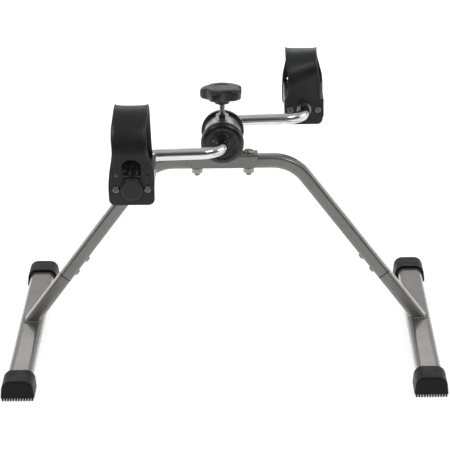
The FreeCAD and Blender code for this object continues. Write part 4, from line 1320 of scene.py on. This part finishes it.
@dataclass(frozen=True)
class Studio:
    """Pale floor, soft lights and the camera."""

    floor_size: float = 16.0
    floor_drop: float = 0.4 * MM
    floor_white: float = 0.82
    floor_glow: float = 0.60
    floor_roughness: float = 0.9
    dim_from: float = -1.5
    dim_to: float = -0.42
    dim_white: float = 0.30
    dim_glow: float = 0.22
    world_up: tuple[float, float, float] = (0.0, 0.6, 0.8)
    world_low: float = -0.12
    world_high: float = 0.8
    world_dark: float = 0.08
    world_bright: float = 0.58
    eye: tuple[float, float, float] = (0.0282, -2.610, 1.052)
    yaw: float = math.radians(-0.587)
    pitch: float = math.radians(19.27)
    roll: float = math.radians(-0.81)
    lens: float = 184.96

    def sheet(self, name: str, drop: float, dimmed: bool) -> bpy.types.Object:
        """Lays one plain sheet under the object.

        Args:
            name: The sheet's name.
            drop: How far it lies below the floor's height.
            dimmed: Whether it darkens towards the front.

        Returns:
            The sheet.
        """
        clear_selection()
        bpy.ops.mesh.primitive_plane_add(size=self.floor_size, location=(0, 0, -drop))
        sheet = made(name)
        g = Graph(name + "_matt")
        tone = g.mix(g.noise(1.5, 2.0), (self.floor_white,) * 3, (self.floor_white * 0.99,) * 3)
        glow = (1.0, 1.0, 1.0)
        if dimmed:
            depth = g.node("ShaderNodeSeparateXYZ", {}, {"Vector": g.place()}).output("Y")
            dim = g.between(depth, self.dim_from, self.dim_to, 1.0, 0.0)
            tone = g.mix(dim, tone, (self.dim_white,) * 3)
            glow = g.mix(dim, glow, (self.dim_glow,) * 3)
        sheet.data.materials.append(g.surface(Base_Color=tone, Roughness=self.floor_roughness,
                                              Emission_Color=glow, Emission_Strength=self.floor_glow))
        return sheet

    def floor(self) -> None:
        """Lays the pale floor that is looked at, and the shaded one that the pieces reflect."""
        seen = self.sheet("studio_floor", self.floor_drop, dimmed=False)
        seen.visible_diffuse = seen.visible_glossy = seen.visible_shadow = False
        shade = self.sheet("studio_shade", self.floor_drop + 0.1 * MM, dimmed=True)
        shade.visible_camera = False

    def lamps(self) -> None:
        """Hangs the lights."""
        target = (0.0, 0.0, 0.2)
        for lamp in (Lamp("key_right", (1.9, -2.0, 3.0), target, (1.7, 0.9), 34.0),
                     Lamp("key_left", (-1.9, -2.1, 2.9), target, (1.5, 0.9), 24.0),
                     Lamp("back_soft", (0.0, 3.6, 1.9), target, (3.4, 0.8), 8.0),
                     Lamp("left_soft", (-3.2, 0.4, 1.2), target, (2.0, 1.6), 22.0),
                     Lamp("right_soft", (3.2, 0.4, 1.2), target, (2.0, 1.6), 22.0)):
            lamp.hang()

    def surround(self) -> None:
        """Sets the surrounding brightness: dark in front, bright above and behind."""
        world = bpy.data.worlds.new("studio_surround")
        world.use_nodes = True
        tree = world.node_tree
        spot = tree.nodes.new("ShaderNodeTexCoord")
        ramp = tree.nodes.new("ShaderNodeMapRange")
        ramp.interpolation_type = "SMOOTHSTEP"
        for name, value in (("From Min", self.world_low), ("From Max", self.world_high),
                            ("To Min", self.world_dark), ("To Max", self.world_bright)):
            ramp.inputs[name].default_value = value
        rise = tree.nodes.new("ShaderNodeVectorMath")
        rise.operation = "DOT_PRODUCT"
        rise.inputs[1].default_value = self.world_up
        tree.links.new(spot.outputs["Generated"], rise.inputs[0])
        tree.links.new(rise.outputs["Value"], ramp.inputs["Value"])
        tree.links.new(ramp.outputs["Result"], tree.nodes["Background"].inputs["Color"])
        bpy.context.scene.world = world
        bpy.context.scene.view_settings.view_transform = "Standard"

    def camera(self) -> None:
        """Sets the camera up."""
        level = math.cos(self.pitch)
        forward = Vector((math.sin(self.yaw) * level, math.cos(self.yaw) * level, -math.sin(self.pitch)))
        right = Vector((math.cos(self.yaw), -math.sin(self.yaw), 0))
        up = right.cross(forward)
        across = right * math.cos(self.roll) + up * math.sin(self.roll)
        upward = up * math.cos(self.roll) - right * math.sin(self.roll)
        data = bpy.data.cameras.new("camera")
        data.lens = self.lens
        data.sensor_width = 36.0
        data.clip_start, data.clip_end = 0.1, 60.0
        camera = bpy.data.objects.new("camera", data)
        bpy.context.scene.collection.objects.link(camera)
        axes = Matrix((across, upward, -forward)).transposed().to_4x4()
        camera.matrix_world = Matrix.Translation(self.eye) @ axes
        bpy.context.scene.camera = camera


def dress_nodes() -> None:
    """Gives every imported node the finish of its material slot."""
    for name, node in frame["nodes"].items():
        for spot in node.material_slots:
            spot.material = BY_SLOT[spot.material.name.split(".")[0]]
            if name.startswith("strap_screws"):
                spot.material = FINISHES[Coat.BLACKED]


def main() -> None:
    """Builds everything in order."""
    logging.basicConfig(level=logging.INFO, format="%(name)s: %(message)s")
    studio = Studio()
    studio.camera()
    studio.floor()
    studio.lamps()
    studio.surround()
    dress_nodes()
    LOG.info("dressed %d nodes", len(frame["nodes"]))
    FootStrap(End.FRONT, inner_top=82.0 * MM, outer_top=82.0 * MM, inner_round=43.2 * MM,
              outer_round=43.2 * MM, inner_sway=FRONT_INNER_SWAY, outer_sway=FRONT_OUTER_SWAY).build()
    FootStrap(End.REAR, inner_top=75.2 * MM, outer_top=52.6 * MM, inner_round=30.3 * MM,
              outer_round=25.1 * MM, inner_sway=REAR_INNER_SWAY, outer_sway=REAR_OUTER_SWAY,
              twist=0.25, bow=3.0 * MM, cup=0.7 * MM).build()
    HubCap(End.FRONT).build()
    HubCap(End.REAR).build()
    TensionKnob().build()
    TensionScrew().build()
    SaddleBolts().build()
    for side in ("left", "right"):
        FootWeld(side).build()


if __name__ == "__main__":
    main()
